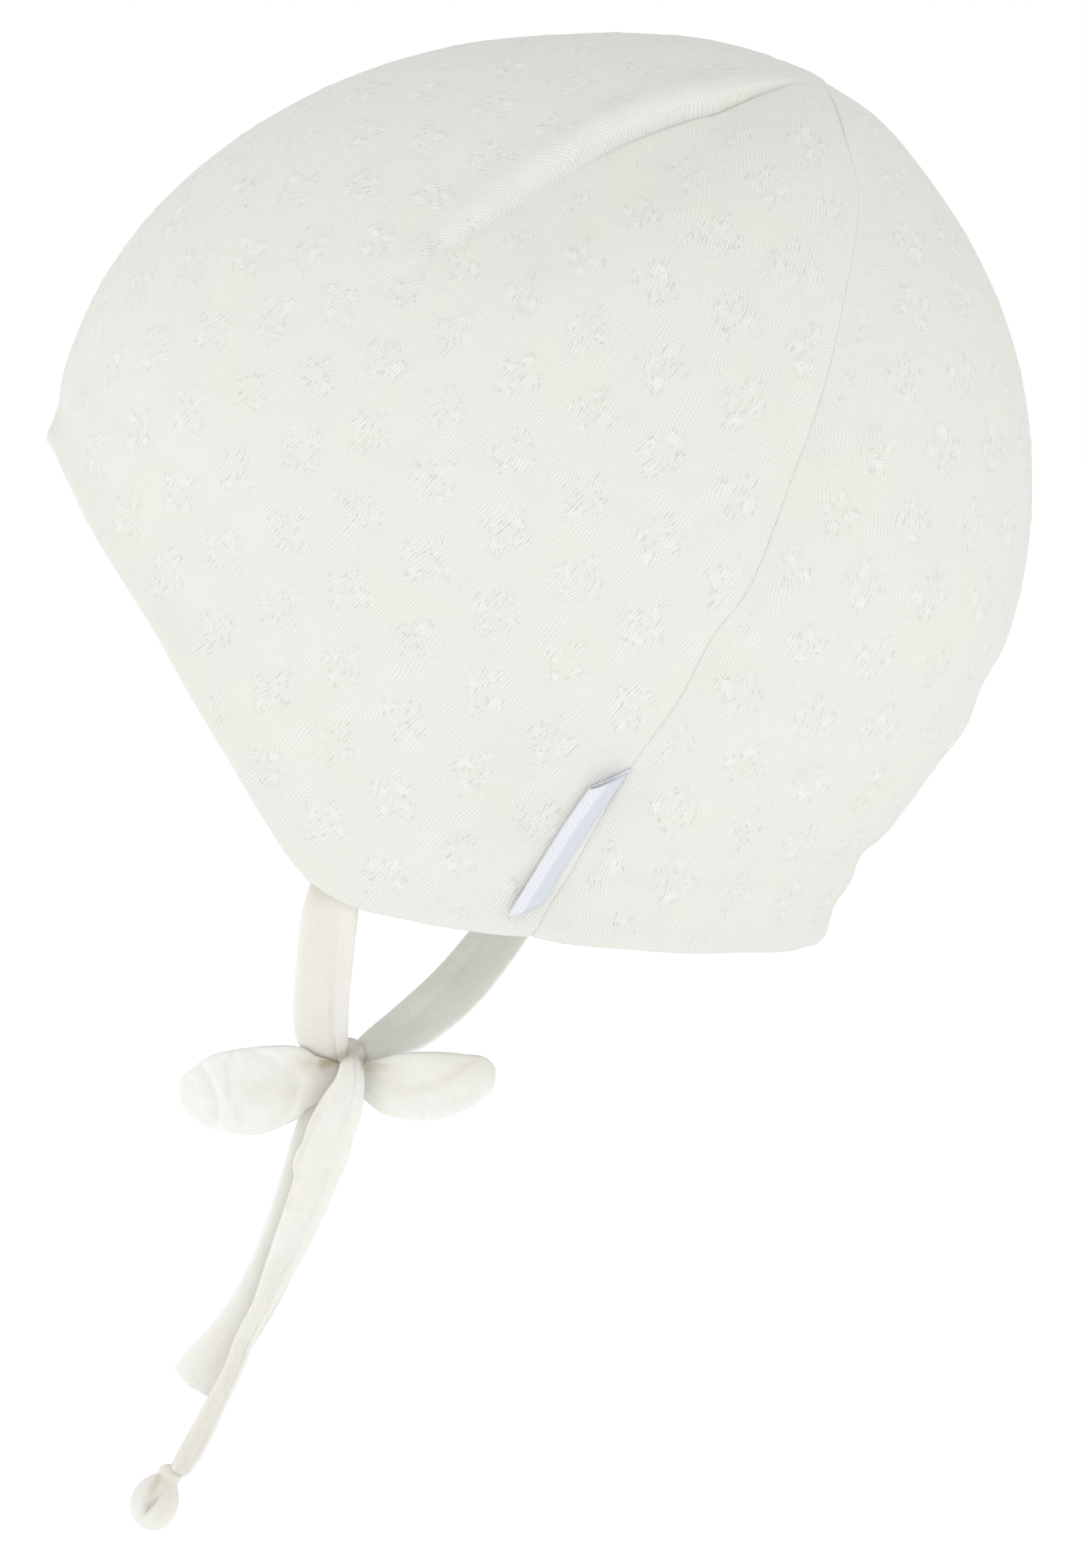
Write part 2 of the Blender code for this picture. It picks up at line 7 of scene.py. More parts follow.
import bpy
import numpy as np
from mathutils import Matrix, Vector


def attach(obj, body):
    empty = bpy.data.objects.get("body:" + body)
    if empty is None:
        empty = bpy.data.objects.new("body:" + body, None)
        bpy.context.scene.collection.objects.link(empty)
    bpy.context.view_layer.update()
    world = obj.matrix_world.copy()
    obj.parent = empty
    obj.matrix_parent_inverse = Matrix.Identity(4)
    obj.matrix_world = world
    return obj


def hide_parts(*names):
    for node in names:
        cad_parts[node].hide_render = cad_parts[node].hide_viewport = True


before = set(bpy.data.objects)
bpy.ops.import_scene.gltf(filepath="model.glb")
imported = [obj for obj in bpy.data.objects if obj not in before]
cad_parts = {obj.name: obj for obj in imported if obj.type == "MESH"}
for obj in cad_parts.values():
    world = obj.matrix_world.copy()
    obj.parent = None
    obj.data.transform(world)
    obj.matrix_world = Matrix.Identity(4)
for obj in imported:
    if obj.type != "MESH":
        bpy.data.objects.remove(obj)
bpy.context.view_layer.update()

# Head form, as in the solids
HALF_WIDTH = 0.0625
HALF_LENGTH = 0.0845
CROWN_HEIGHT = 0.0752
SQUARENESS = 2.05
WALL = 0.0020
HEAD_CENTRE = np.array((0.0, 0.0, WALL - CROWN_HEIGHT))
HALF_SIZES = np.array((HALF_WIDTH, HALF_LENGTH, CROWN_HEIGHT))
PROFILE = (  # angle, reach
    (-165, 1.060), (-150, 1.180), (-120, 1.560), (-90, 1.640), (-74, 1.380), (-61, 1.150), (-51, 1.060),
    (-40, 1.016), (-25, 1.004), (0, 0.992), (22, 1.010), (40, 1.038), (53, 1.070), (66, 1.064), (80, 1.027),
    (90, 1.006), (120, 0.996), (150, 1.014), (170, 1.021), (180, 1.022),
)

# Lines on the form, seen from the side: along is a share of the half length, up a share of the crown height
CROWN_POINT = (0.588, 0.905)
FACE_EDGE_UPPER = ((-1.024, 0.108), (-0.972, 0.104), (-0.900, 0.084), (-0.811, -0.006))
FACE_EDGE_LOWER = (
    (-0.811, -0.006), (-0.716, -0.124), (-0.592, -0.272), (-0.496, -0.416), (-0.406, -0.562),
    (-0.328, -0.708), (-0.287, -0.780), (-0.248, -0.832),
)
HEM_FRONT = (
    (-0.248, -0.832), (-0.203, -0.864), (-0.142, -0.892), (-0.040, -0.913), (0.081, -0.934), (0.188, -0.951),
)
HEM_BACK = ((0.188, -0.951), (0.350, -0.976), (0.470, -0.994), (0.530, -1.003), (0.5575, -1.006))
MIDDLE_FRONT = ((0.300, 0.985), (0.000, 1.000), (-0.350, 0.930), (-0.640, 0.770), (-0.870, 0.500))
DART_LINE = (
    (0.489, 0.865), (0.434, 0.845), (0.302, 0.769), (0.212, 0.695), (0.092, 0.584), (0.018, 0.530),
    (-0.280, 0.355), (-0.560, 0.175),
)
EAR_LINE = ((0.545, 0.700), (0.430, 0.430), (0.270, 0.100), (0.080, -0.240), (-0.100, -0.560))
SIDE_SEAM = (
    (0.683, 0.785), (0.735, 0.669), (0.760, 0.510), (0.761, 0.427), (0.744, 0.210), (0.699, 0.029),
    (0.631, -0.187), (0.567, -0.291), (0.485, -0.445), (0.390, -0.590),
)
MIDDLE_BACK = (
    (0.760, 0.700), (0.920, 0.400), (0.992, 0.000), (0.930, -0.370), (0.760, -0.680), (0.650, -0.840),
)
FOLDS = (  # from_along, from_up, to_along, to_up, half_width, depth
    (0.70, -0.84, 0.34, -0.80, 0.040, 0.018),
    (0.20, -0.62, 0.24, -0.52, 0.100, 0.032),
    (0.56, -0.33, 0.90, -0.44, 0.060, 0.010),
    (0.58, -0.44, 0.90, -0.56, 0.050, -0.006),
    (0.24, 0.60, 0.44, 0.74, 0.110, 0.026),
    (-0.80, 0.26, -0.36, -0.10, 0.060, 0.007),
    (-0.66, 0.02, -0.20, -0.36, 0.055, 0.008),
    (-0.50, -0.24, -0.06, -0.56, 0.050, 0.008),
)

# Ties and the ribbon label's place, as in the solids. The longer tail is thicker, and the tuck is how far a
# tie goes up inside its flap.
TIE_WIDTH = 0.0090
TIE_THICKNESS = 0.0020
LONG_TAIL_THICKNESS = 0.0030
TIE_TUCK = 0.0080
CLEARANCE = 0.0003
TIE_SEAT = (-0.212, -0.842)
LABEL_ROOT = ((0.392, -0.588), (0.345, -0.665), (0.300, -0.742), (0.255, -0.815), (0.218, -0.880))
LABEL_EDGE = ((0.318, -0.625), (0.275, -0.695), (0.232, -0.765), (0.190, -0.835), (0.148, -0.905))

# The label's loop of ribbon, how far its upper end flares, its steps, and half the ribbon's thickness
LABEL_OUTLINE = (  # share of the way out to the fold, lift in millimetres
    (0.00, 0.30), (0.25, 0.34), (0.55, 0.38), (0.80, 0.42), (0.96, 0.50), (1.02, 0.85),
    (1.00, 1.30), (0.93, 1.52), (0.75, 1.60), (0.50, 1.45), (0.28, 1.20), (0.12, 0.95),
)
LABEL_FLARE = 0.0006
LABEL_STEPS = 64
RIBBON_HALF = 0.00013

# Routes of the flat tubes: x, y and z in millimetres, the width in tie widths, x, y and z of the way across
TIE_LEFT = (
    (50, -19, -142.2, 1.04, -0.05, 1, 0), (44, -22.1, -148.4, 1.04, -0.15, 1, 0),
    (35, -26.2, -154.7, 1.04, -0.22, 1, 0), (24, -30.9, -160.2, 1.04, -0.26, 1, 0.02),
    (12, -35.6, -165.2, 1.02, -0.15, 1, 0.05), (6, -37.6, -168.4, 0.95, 0, 1, 0.08),
    (3.2, -37.4, -171.2, 0.69, 0, 1, 0.08), (0.6, -37.4, -173.8, 0.51, 0, 1, 0.08),
)
TIE_RIGHT = (
    (-50, -20.4, -145, 1, -0.15, 0.9, -0.25), (-45, -22.8, -151.3, 1, -0.18, 0.8, -0.45),
    (-35, -25.4, -158.4, 1.04, -0.2, 0.7, -0.6), (-25, -27, -163, 1.04, -0.2, 0.7, -0.65),
    (-15, -29.8, -167.3, 0.97, -0.2, 0.7, -0.6), (-8.5, -31.2, -169, 0.85, -0.2, 0.8, -0.5),
    (-4.5, -32.9, -170.5, 0.69, -0.2, 0.8, -0.5), (-1, -34, -171.7, 0.46, -0.2, 0.8, -0.5),
)
LOOP_FRONT = (
    (1.7, -35.8, -174.1, 0.41, 0.1, 0, 1), (3.6, -37.2, -174, 0.61, 0.1, 0, 1),
    (5.6, -39.4, -174.5, 0.97, 0.12, 0, 1), (6.9, -42.2, -174.7, 1.36, 0.15, 0, 1),
    (7.4, -46.5, -175.9, 1.59, 0.15, 0, 1), (7.2, -51.2, -177.1, 1.69, 0.15, 0, 1),
    (6.2, -55.7, -177.5, 1.54, 0.12, 0, 1), (4.6, -59.8, -178.3, 1.28, 0.1, -0.1, 1),
    (2.6, -63, -178.6, 0.92, 0.05, -0.2, 1), (0.4, -65.2, -179.1, 0.61, 0, -0.25, 1),
    (-1.8, -64.8, -179.1, 0.87, -0.05, -0.2, 1), (-3.6, -63.1, -179.2, 1.2, -0.1, -0.1, 1),
    (-4.8, -60.2, -178.9, 1.43, -0.12, 0, 1), (-5.4, -56.3, -178.5, 1.54, -0.15, 0, 1),
    (-5.2, -51.5, -177.3, 1.43, -0.15, 0, 1), (-4.4, -46.7, -176, 1.15, -0.15, 0, 1),
    (-3.2, -41.9, -175.4, 0.77, -0.12, 0, 1), (-1.7, -37.6, -174.7, 0.46, -0.1, 0, 1),
)
LOOP_BACK = (
    (1.7, -32.5, -175.3, 0.46, 0.1, 0, 1), (3.4, -29.6, -175.3, 0.87, 0.1, 0, 1),
    (4.8, -26.3, -175.5, 1.13, 0.12, 0, 1), (5.8, -22.7, -175.3, 1.28, 0.15, 0, 1),
    (6.2, -18.9, -175, 1.33, 0.15, 0, 1), (5.8, -15.1, -174.5, 1.23, 0.15, 0, 1),
    (4.6, -12.1, -174, 1.05, 0.12, 0, 1), (3, -10.2, -173.6, 0.85, 0.1, 0.1, 1),
    (0.6, -9.5, -174, 0.51, 0, 0.25, 1), (-1.8, -11.7, -174.2, 0.77, -0.05, 0.15, 1),
    (-3.4, -15.1, -174.9, 0.97, -0.1, 0.05, 1), (-4.6, -19, -175.7, 1.13, -0.12, 0, 1),
    (-5.2, -23.2, -176.3, 1.2, -0.15, 0, 1), (-5, -26.9, -176.5, 1.13, -0.15, 0, 1),
    (-4, -30.2, -176.3, 0.92, -0.12, 0, 1), (-1.7, -33.4, -175.7, 0.46, -0.1, 0, 1),
)

# The tails' routes. Of the way across, x and y are the same all along, and a row ends with its z.
TAIL_ACROSS = (-0.34, 0.94)
TAIL_LONG = (
    (6.6, -32.3, -170.3, 0.26, -0.1), (7.4, -31.9, -172, 0.44, -0.12), (7.8, -32.1, -175, 0.59, -0.15),
    (7.6, -33.7, -179, 0.82, -0.25), (7.2, -35.8, -183.3, 0.9, -0.32), (6.9, -36.9, -186.6, 0.93, -0.35),
    (6.6, -38.4, -189.6, 0.96, -0.35), (6.4, -39, -192.1, 0.83, -0.36), (5.9, -41.1, -197.2, 0.76, -0.38),
    (5.4, -43.6, -202.6, 0.69, -0.42), (5, -46.2, -207.6, 0.56, -0.46), (4.6, -49.4, -214.1, 0.41, -0.5),
    (4.2, -52.9, -220.2, 0.38, -0.48), (3.9, -55.2, -225.6, 0.37, -0.45),
    (3.5, -58.7, -231.9, 0.4, -0.45), (3.3, -60.9, -236, 0.44, -0.45), (3.1, -63.9, -241.1, 0.44, -0.5),
    (3, -66.3, -244.6, 0.36, -0.6),
)
TAIL_SHORT = (
    (1.8, -38.2, -177.4, 0.64, -0.2), (2.6, -38.9, -181.4, 0.87, -0.25),
    (2.6, -40.6, -187.1, 0.95, -0.25), (2.2, -42.9, -194.2, 0.97, -0.3), (1.8, -47.6, -205.3, 0.87, -0.4),
    (1.2, -52.4, -214.3, 0.85, -0.55), (0.6, -58, -221.8, 0.9, -0.75), (0.3, -61.6, -225.6, 0.92, -0.85),
    (0, -64.9, -229.3, 0.9, -0.95),
)

# Painted shade, yellowish or greyer, on the ties' cloth: in the bow's deep creases, and faintly over the left
# tie and the long tail's lower part. In millimetres to the right and up from the middle, seen from the
# photo's side.
PAINTED_SHADE_LINES = (  # from right, from up, to right, to up, reach, strength
    (-37.5, -47.8, -36.1, -47.3, 1.1, 0.62), (-36.1, -47.3, -33.9, -46.2, 1.1, 0.5),
    (-33.9, -46, -31.1, -44.6, 0.9, 0.35), (-40.5, -47.5, -37.5, -47.8, 0.8, 0.3),
    (-30.5, -47.1, -29.9, -48.3, 1, 0.45), (-29.9, -47.6, -26.7, -48.2, 0.8, 0.26),
    (-41.2, -48, -36.6, -48.5, 2.8, 0.14), (-29.7, -48.2, -26.7, -48.4, 2.6, 0.12),
    (-37.3, -51.9, -38.5, -56, 0.9, 0.16), (-38.5, -56, -40.8, -62, 0.6, 0.16),
    (-40.8, -62, -42.3, -65.4, 0.5, 0.16), (-42.3, -65.4, -42.1, -67.3, 0.5, 0.14),
    (-42.1, -67.3, -43.5, -72.3, 0.5, 0.12), (-53.2, -45.4, -54.1, -47.7, 0.6, 0.1),
    (-54.1, -47.7, -53.7, -53.1, 0.6, 0.12), (-53.7, -53.1, -51.8, -57.8, 0.6, 0.1),
    (-49.8, -51.9, -37.7, -52.8, 2.6, 0.1), (-11.3, -46.6, -14.5, -48.9, 0.6, 0.1),
    (-14.5, -48.9, -18.6, -51.2, 0.6, 0.12), (-18.6, -51.2, -24.5, -52.6, 0.8, 0.1),
    (-28.8, -49.1, -23.2, -51.6, 1.8, 0.09), (-45.8, -83.6, -52.7, -97.4, 4, 0.06),
    (-36.8, -14, -36.8, -41, 8, 0.15), (-52.7, -97.4, -59, -112.4, 4, 0.13),
    (-59, -112.4, -65.9, -122.7, 4.5, 0.17), (-66.2, -119.7, -67.5, -122.4, 1, 0.36),
    (-67.5, -122.4, -68.4, -124.5, 1, 0.32),
)

# The knit and its relief in millimetres, and how strong its colours are: painted shade in the hollows and
# slots, and the dots' paler tone, which is partly painted highlight
WALE = 0.55
COURSE = 0.45
STITCH_DEPTH = 0.042
TIE_STITCH_DEPTH = 0.014
FUZZ_DEPTH = 0.05
LUMP_DEPTH = 0.18
PUFF_BUMP = 0.12
SLOT_DEPTH = 0.04
HOLLOW_SHADE_SHARE = 0.50
PUFF_TONE_AND_HIGHLIGHT_SHARE = 0.50
SLOT_SHARE = 0.30

# The slant of a stitch's loops, their share beside the wales, and how far the cloth is drawn out of line,
# in millimetres
LOOP_LEAN = 2.4
COURSE_SHARE = 0.34
JERSEY_STRETCH = 2.4
TIE_STRETCH = 0.5
WANDER = 0.22
DOT_WANDER = 1.9

# Soft random fields on the cloth, in turns a millimetre, and the slots' along the wales and across them
STRETCH_TURNS = 0.11
WANDER_TURNS = 1.3
DOT_WANDER_TURNS = 0.55
PATCH_TURNS = 0.16
FUZZ_TURNS = 1.9
LUMP_TURNS = 0.30
TONE_TURNS = 0.045
MOTTLE_TURNS = 0.6
CHANCE_TURNS = 0.17
SLOT_TURNS = (0.60, 3.0, 0.0)

# The ribbon's weave, in turns a metre
TWILL_TURNS = 700.0

# Which setting of a node the second word of its kind stands for
CHOICES = {
    "Math": "operation", "VectorMath": "operation", "Mix": "data_type", "MapRange": "interpolation_type",
    "TexNoise": "noise_dimensions",
}

# The side's smooth spot, in metres: its place, how far it reaches and how much of the dots it takes away
CALM_SPOT = (0.060, -0.022, -0.078)
CALM_REACH = 0.034
CALM_SHARE = 0.6

# Where the dots begin on each panel's flat cloth, in metres
FRONT_SHIFT = (0.0009, 0.0081)
BACK_SHIFT = (0.0020, 0.0030)

# Colours
JERSEY_COOL = "E9E9E6"
JERSEY_WARM = "EAE9E3"
# The dots' paler colour: partly the knit's tone, partly painted highlight
PUFF_TONE_AND_HIGHLIGHT = "F1F0EC"
# Painted shade in the knit's hollows, and the ties' random mottle
HOLLOW_SHADE_AND_MOTTLE = "D0D1C7"
# Painted shade in the slots round the dots
SLOT_SHADE = "B0AFA1"
RIBBON_WHITE = "E4E6EA"
RIBBON_SHADE = "DCDFE6"
RIBBON_FACE = "CFD4DE"
# Painted yellowish shade in the bow's creases and over parts of the ties
PAINTED_TIE_SHADE = "A08C56"
FLOOR_WHITE = "FAFAFA"
FLOOR_GRAIN = "F8F8F8"

# The wrap of the bow and the open end of the long tail, in metres
KNOT_PLACE = (0.0, -0.0352, -0.1722)
KNOT_SIZE = (0.0086, 0.0056, 0.0086)
END_FROM = (0.0030, -0.0664, -0.2428)
END_AXIS = (0.0, -0.50, -0.87)
END_LENGTH = 0.0128
END_WIDTH = 0.0086
END_THICKNESS = 0.0050

# A flat tube: a step along it in metres, the points round it, how its edges and faces are rounded, and how
# narrow its ends are
TUBE_STEP = 0.0008
TUBE_AROUND = 44
TUBE_EDGE = 0.8
TUBE_FACE = 0.55
TUBE_TIP = 0.02

# The photograph's view
VIEW_SIDE = math.radians(20)
VIEW_HEIGHT = math.radians(4)
VIEW_DISTANCE = 1.400
VIEW_TARGET = Vector((0.0, 0.0, -0.1236))
VIEW_HALF_HEIGHT = 0.1326
TO_CAMERA = (math.cos(VIEW_SIDE) * math.cos(VIEW_HEIGHT), math.sin(VIEW_SIDE) * math.cos(VIEW_HEIGHT),
             math.sin(VIEW_HEIGHT))

# The floor's height, and the light: the walls and the ceiling, the table's own glow, and the lamps
FLOOR_HEIGHT = -0.2620
WALL_TOP = 0.06
CEILING_FROM = 0.62
CEILING_LIGHT = 0.78
TABLE_GLOW = 0.24
LAMP_AIM = (0.0, 0.0, -0.08)
LAMPS = (  # name, place, size, power
    ("soft_window", (1.15, 0.60, -0.04), 1.0, 1.8),
    ("back_fill", (0.45, 1.25, 0.05), 0.9, 1.1),
    ("front_window", (0.60, -1.15, 0.20), 1.0, 2.5),
)

# Cloth: heights and widths in metres, and where along a panel's rows something starts, fades or rises
PUFF = 0.00010
SEAM_PINCH = 0.0010
SEAM_PINCH_WIDTH = 0.0045
SEAM_DIVE = 0.0002
SEAM_DIVE_WIDTH = 0.0004
SEAM_BACKING = 0.0004
SEAM_BACKING_FROM = 0.0001
SEAM_STARTS = 0.20
FAR_SEAM_STARTS = 0.42
HEM_ROLL = 0.0007
HEM_ROLL_WIDTH = 0.0050
DART_RIDGE = 0.0024
DART_RIDGE_OFFSET = 0.0032
DART_RIDGE_WIDTH = 0.0044
DART_CREASE = 0.0007
DART_CREASE_WIDTH = 0.0005
DART_TUCK = 0.0015
DART_TUCK_WIDTH = 0.0110
DART_SHARE = 0.45
DART_FADE = 0.14
DART_RISE = 0.16
CUT_SHARE = 0.51

# Where the dots begin beside an edge, and over which length they rise, in metres
SEAM_CLEAR = (0.002, 0.003)
RIM_CLEAR = (0.001, 0.003)
CROWN_CLEAR = (0.006, 0.006)
DART_CLEAR = (0.003, 0.003)

# Grids: how many columns each strip has and its crowding at its two ends, and how many rows a panel has.
# One column and row in four go on to the inner side. The last row lies half a wall short of the rim.
CROWDING_WIDTH = 0.16
FOREHEAD_GRID = (84, 0.0, 0.5)
CHEEK_GRID = (88, 0.5, 0.0)
FLAP_GRID = (40, 0.0, 0.7)
BACK_GRID = (88, 0.7, 0.0)
FRONT_ROWS = 164
BACK_ROWS = 208
COARSE = 4
RIM_STEPS = 5
PANEL_LENGTH = 0.145
LAST_ROW_SHARE = 1 - 0.5 * WALL / PANEL_LENGTH

# Puffed dots, in millimetres: they stand in diamonds, which are spread in half-drop rows
ROW_PITCH = 11.75
MOTIF_PITCH = 13.6
DOT_ALONG = 2.65
DOT_ACROSS = 2.5
DOT_RADIUS = 1.35


def unit(vectors):
    return vectors / np.maximum(np.linalg.norm(vectors, axis=-1, keepdims=True), 1e-12)


def bump(distance, width):
    """1 in the middle of a fold, falling smoothly to 0."""
    return np.exp(-(distance / width) ** 2)


def risen(distance, start, span):
    """0 up to the start and 1 from one span beyond it."""
    return np.clip((distance - start) / span, 0.0, 1.0)


def eased(share):
    """0 before 0 and 1 after 1, with a smooth rise between."""
    share = np.clip(share, 0.0, 1.0)
    return share * share * (3 - 2 * share)


def reach(angle):
    """Distance to the middle outline at angles in degrees, as a share, on a smooth closed curve."""
    angles = np.concatenate([[row[0] + turn for row in PROFILE] for turn in (-360, 0, 360)])
    shares = np.array([row[1] for row in PROFILE] * 3)
    last = np.searchsorted(angles, angle, side="right") - 1
    a0, a1, a2, a3 = (angles[last + step] for step in (-1, 0, 1, 2))
    r0, r1, r2, r3 = (shares[last + step] for step in (-1, 0, 1, 2))
    share = (angle - a1) / (a2 - a1)
    slope_in = (r2 - r0) / (a2 - a0) * (a2 - a1)
    slope_out = (r3 - r1) / (a3 - a1) * (a2 - a1)
    cube, square = share ** 3, share ** 2
    return ((2 * cube - 3 * square + 1) * r1 + (cube - 2 * square + share) * slope_in
            + (3 * square - 2 * cube) * r2 + (cube - square) * slope_out)


def on_form(direction):
    """Places on the head form in directions from the head centre, in shares of the three half sizes."""
    side_reach = np.hypot(direction[..., 1], direction[..., 2])
    outline = reach(np.degrees(np.arctan2(direction[..., 2], direction[..., 1])))
    size = ((side_reach / outline) ** SQUARENESS
            + np.abs(direction[..., 0]) ** SQUARENESS) ** (-1 / SQUARENESS)
    return HEAD_CENTRE + direction * HALF_SIZES * size[..., None]


def outward(direction):
    """Unit normals of the head form in directions."""
    sideways = np.abs(direction[..., :1]) > 0.7
    helper = np.where(sideways, np.array((0.0, 0.0, 1.0)), np.array((1.0, 0.0, 0.0)))
    first = unit(np.cross(direction, helper)) * 0.01
    second = np.cross(direction, first)
    along_first = on_form(direction + first) - on_form(direction - first)
    along_second = on_form(direction + second) - on_form(direction - second)
    normal = unit(np.cross(along_first, along_second))
    facing = np.sum(normal * (on_form(direction) - HEAD_CENTRE), axis=-1, keepdims=True)
    return normal * np.sign(facing)


def direction_at(places):
    """Directions to the places on the left half of the form that are seen at these shares from the side."""
    along, up = np.array(places, float).T
    share = np.hypot(along, up) / reach(np.degrees(np.arctan2(up, along)))
    half = np.maximum(0.0, 1 - np.minimum(share, 1.0) ** SQUARENESS) ** (1 / SQUARENESS)
    return unit(np.stack([half, along, up], axis=-1))


def smooth_path(rows, per_span=12):
    """Points on a smooth curve through the rows, which may hold any number of values."""
    rows = np.array(rows, float)
    padded = np.concatenate([[2 * rows[0] - rows[1]], rows, [2 * rows[-1] - rows[-2]]])
    share = (np.arange(per_span) / per_span)[None, :, None]
    before, start, end, after = (padded[step:len(rows) - 1 + step, None, :] for step in range(4))
    points = 0.5 * (2 * start + (end - before) * share
                    + (2 * before - 5 * start + 4 * end - after) * share ** 2
                    + (3 * start - before - 3 * end + after) * share ** 3)
    return np.concatenate([points.reshape(-1, rows.shape[1]), rows[-1:]])


def spaced(points, shares, places):
    """Points read from a path at shares of its length, where places are its points in space."""
    travelled = np.concatenate([[0.0], np.cumsum(np.linalg.norm(np.diff(places, axis=0), axis=1))])
    targets = np.asarray(shares) * travelled[-1]
    return np.stack([np.interp(targets, travelled, values) for values in points.T], axis=-1)


def crowded(count, start, end):
    """Shares from 0 to 1 that lie closer together towards one end or both."""
    steps = (np.arange(count) + 0.5) / count
    spacing = 1 - start * bump(steps, CROWDING_WIDTH) - end * bump(1 - steps, CROWDING_WIDTH)
    return np.concatenate([[0.0], np.cumsum(spacing)]) / np.sum(spacing)


def guide(middle_rows, rim_place, row_shares, in_middle=False):
    """Directions along a line from the crown point to the rim, one for each row of a panel. A middle line
    lies on the plane between left and right."""
    path = smooth_path(direction_at((CROWN_POINT,) + middle_rows + (rim_place,)))
    if in_middle:
        path = unit(path * np.array((0.0, 1.0, 1.0)))
    return unit(spaced(path, row_shares, on_form(unit(path))))


def strip(first, second, rim_rows, columns, row_shares):
    """Directions for each column and row of the strip between two guides, whose last row follows the
    rim."""
    path = smooth_path(direction_at(rim_rows))
    rim = unit(spaced(path, columns, on_form(unit(path))))
    blend = columns[:, None]
    correction = rim - (first[-1] * (1 - blend) + second[-1] * blend)
    across = first[None] * (1 - blend[..., None]) + second[None] * blend[..., None]
    return unit(across + correction[:, None, :] * row_shares[None, :, None] ** 2)


def fold_height(points):
    """Height of the soft folds and dents, negative where they sink."""
    height = np.zeros(points.shape[:-1])
    along, up = points[..., 1], points[..., 2] - HEAD_CENTRE[2]
    for from_along, from_up, to_along, to_up, half_width, depth in FOLDS:
        start = np.array((from_along * HALF_LENGTH, from_up * CROWN_HEIGHT))
        run = np.array((to_along * HALF_LENGTH, to_up * CROWN_HEIGHT)) - start
        share = ((along - start[0]) * run[0] + (up - start[1]) * run[1]) / np.dot(run, run)
        share = np.clip(share, 0.0, 1.0)
        distance = np.hypot(along - start[0] - run[0] * share, up - start[1] - run[1] * share)
        height -= depth * HALF_LENGTH * bump(distance, half_width * HALF_LENGTH)
    return height


def hem_height(rim_distance):
    """The turned edge is a soft roll with a shallow valley above it."""
    roll = HEM_ROLL * bump(rim_distance - 0.3 * HEM_ROLL_WIDTH, 0.5 * HEM_ROLL_WIDTH)
    valley = 0.7 * HEM_ROLL * bump(rim_distance - 1.7 * HEM_ROLL_WIDTH, 0.7 * HEM_ROLL_WIDTH)
    return roll - valley


def dart_height(across, row_shares):
    """The dart's rolled ridge on its upper side, its crease, and the cloth tucked under its lower side."""
    strength = eased(row_shares / DART_RISE) / (1 + np.exp((row_shares - DART_SHARE) / (0.25 * DART_FADE)))
    crease = -DART_CREASE * bump(across, DART_CREASE_WIDTH) * (1 - eased((row_shares - 0.20) / DART_RISE))
    above = (DART_RIDGE * (0.3 + 0.7 * eased((row_shares - 0.06) / DART_RISE))
             * bump(across + DART_RIDGE_OFFSET, DART_RIDGE_WIDTH))
    below = -DART_TUCK * bump(across, DART_TUCK_WIDTH)
    return strength * (crease + np.where(across < 0, above, below))


def seam_height(distance, row_shares, flat_until=SEAM_STARTS):
    """The cloth is drawn in along a seam, which lies flat near the crown."""
    return -SEAM_PINCH * eased((row_shares - flat_until) / 0.25) * bump(distance, SEAM_PINCH_WIDTH)


def seam_groove(distance, row_shares, flat_until=SEAM_STARTS):
    """The edge goes down into its seam, more at some stitches than at others."""
    wander = 0.75 + 0.25 * np.sin(97 * row_shares + 2 * np.sin(31 * row_shares))
    return -SEAM_DIVE * wander * eased((row_shares - flat_until) / 0.20) * bump(distance, SEAM_DIVE_WIDTH)


def mirrored(half):
    """A whole panel's columns from those of its left half, whose last column is the middle line."""
    return np.concatenate([half, half[-2::-1] * np.array((-1.0, 1.0, 1.0))])


def panel_surface(columns, row_shares, dart_column=None):
    """Places, normals, heights and seam grooves of a panel, from the columns of its left half. Column 0 is
    the seam and the last one the middle line."""
    flat = on_form(columns)
    normal = outward(columns)
    length = np.linalg.norm(np.diff(flat, axis=1), axis=-1).sum(axis=1, keepdims=True) / row_shares[-1]
    height = fold_height(flat) + hem_height((1 - row_shares[None]) * length)
    if dart_column is not None:
        across = np.linalg.norm(flat - flat[dart_column][None], axis=-1)
        across[dart_column + 1:] *= -1
        height += dart_height(across, row_shares[None])
    from_seam = np.linalg.norm(flat - flat[:1], axis=-1)
    rows = row_shares[None]
    near = height + seam_height(from_seam, rows), seam_groove(from_seam, rows)
    far = (height + seam_height(from_seam, rows, FAR_SEAM_STARTS),
           seam_groove(from_seam, rows, FAR_SEAM_STARTS))
    heights, grooves = (np.concatenate([left, right[-2::-1]]) for left, right in zip(near, far))
    return mirrored(flat), mirrored(normal), heights, grooves


def fan_ids(columns, rows, first=0):
    """Numbers of a sheet's points by column and row. Its first row is one point."""
    ids = np.full((columns, rows), first)
    ids[:, 1:] += 1 + np.arange(columns * (rows - 1)).reshape(columns, rows - 1)
    return ids


def fan_points(grid):
    """Such a sheet's points, or their values, in the order of their numbers."""
    return np.concatenate([grid[:1, 0], grid[:, 1:].reshape(-1, grid.shape[-1])])


def grid_faces(ids, after, before):
    """Each face of a grid of points with its corners' places on the flat cloth, as seen from the cell after
    a node and from the cell before it."""
    def corners(left, right):
        return np.stack([left[:-1, :-1], right[1:, :-1], right[1:, 1:], left[:-1, 1:]], axis=2)
    for face, flat in zip(corners(ids, ids).reshape(-1, 4), corners(after, before).reshape(-1, 4, 2)):
        keep = [0, 2, 3] if face[0] == face[1] else [0, 1, 2, 3]
        yield face[keep].tolist(), flat[keep].tolist()


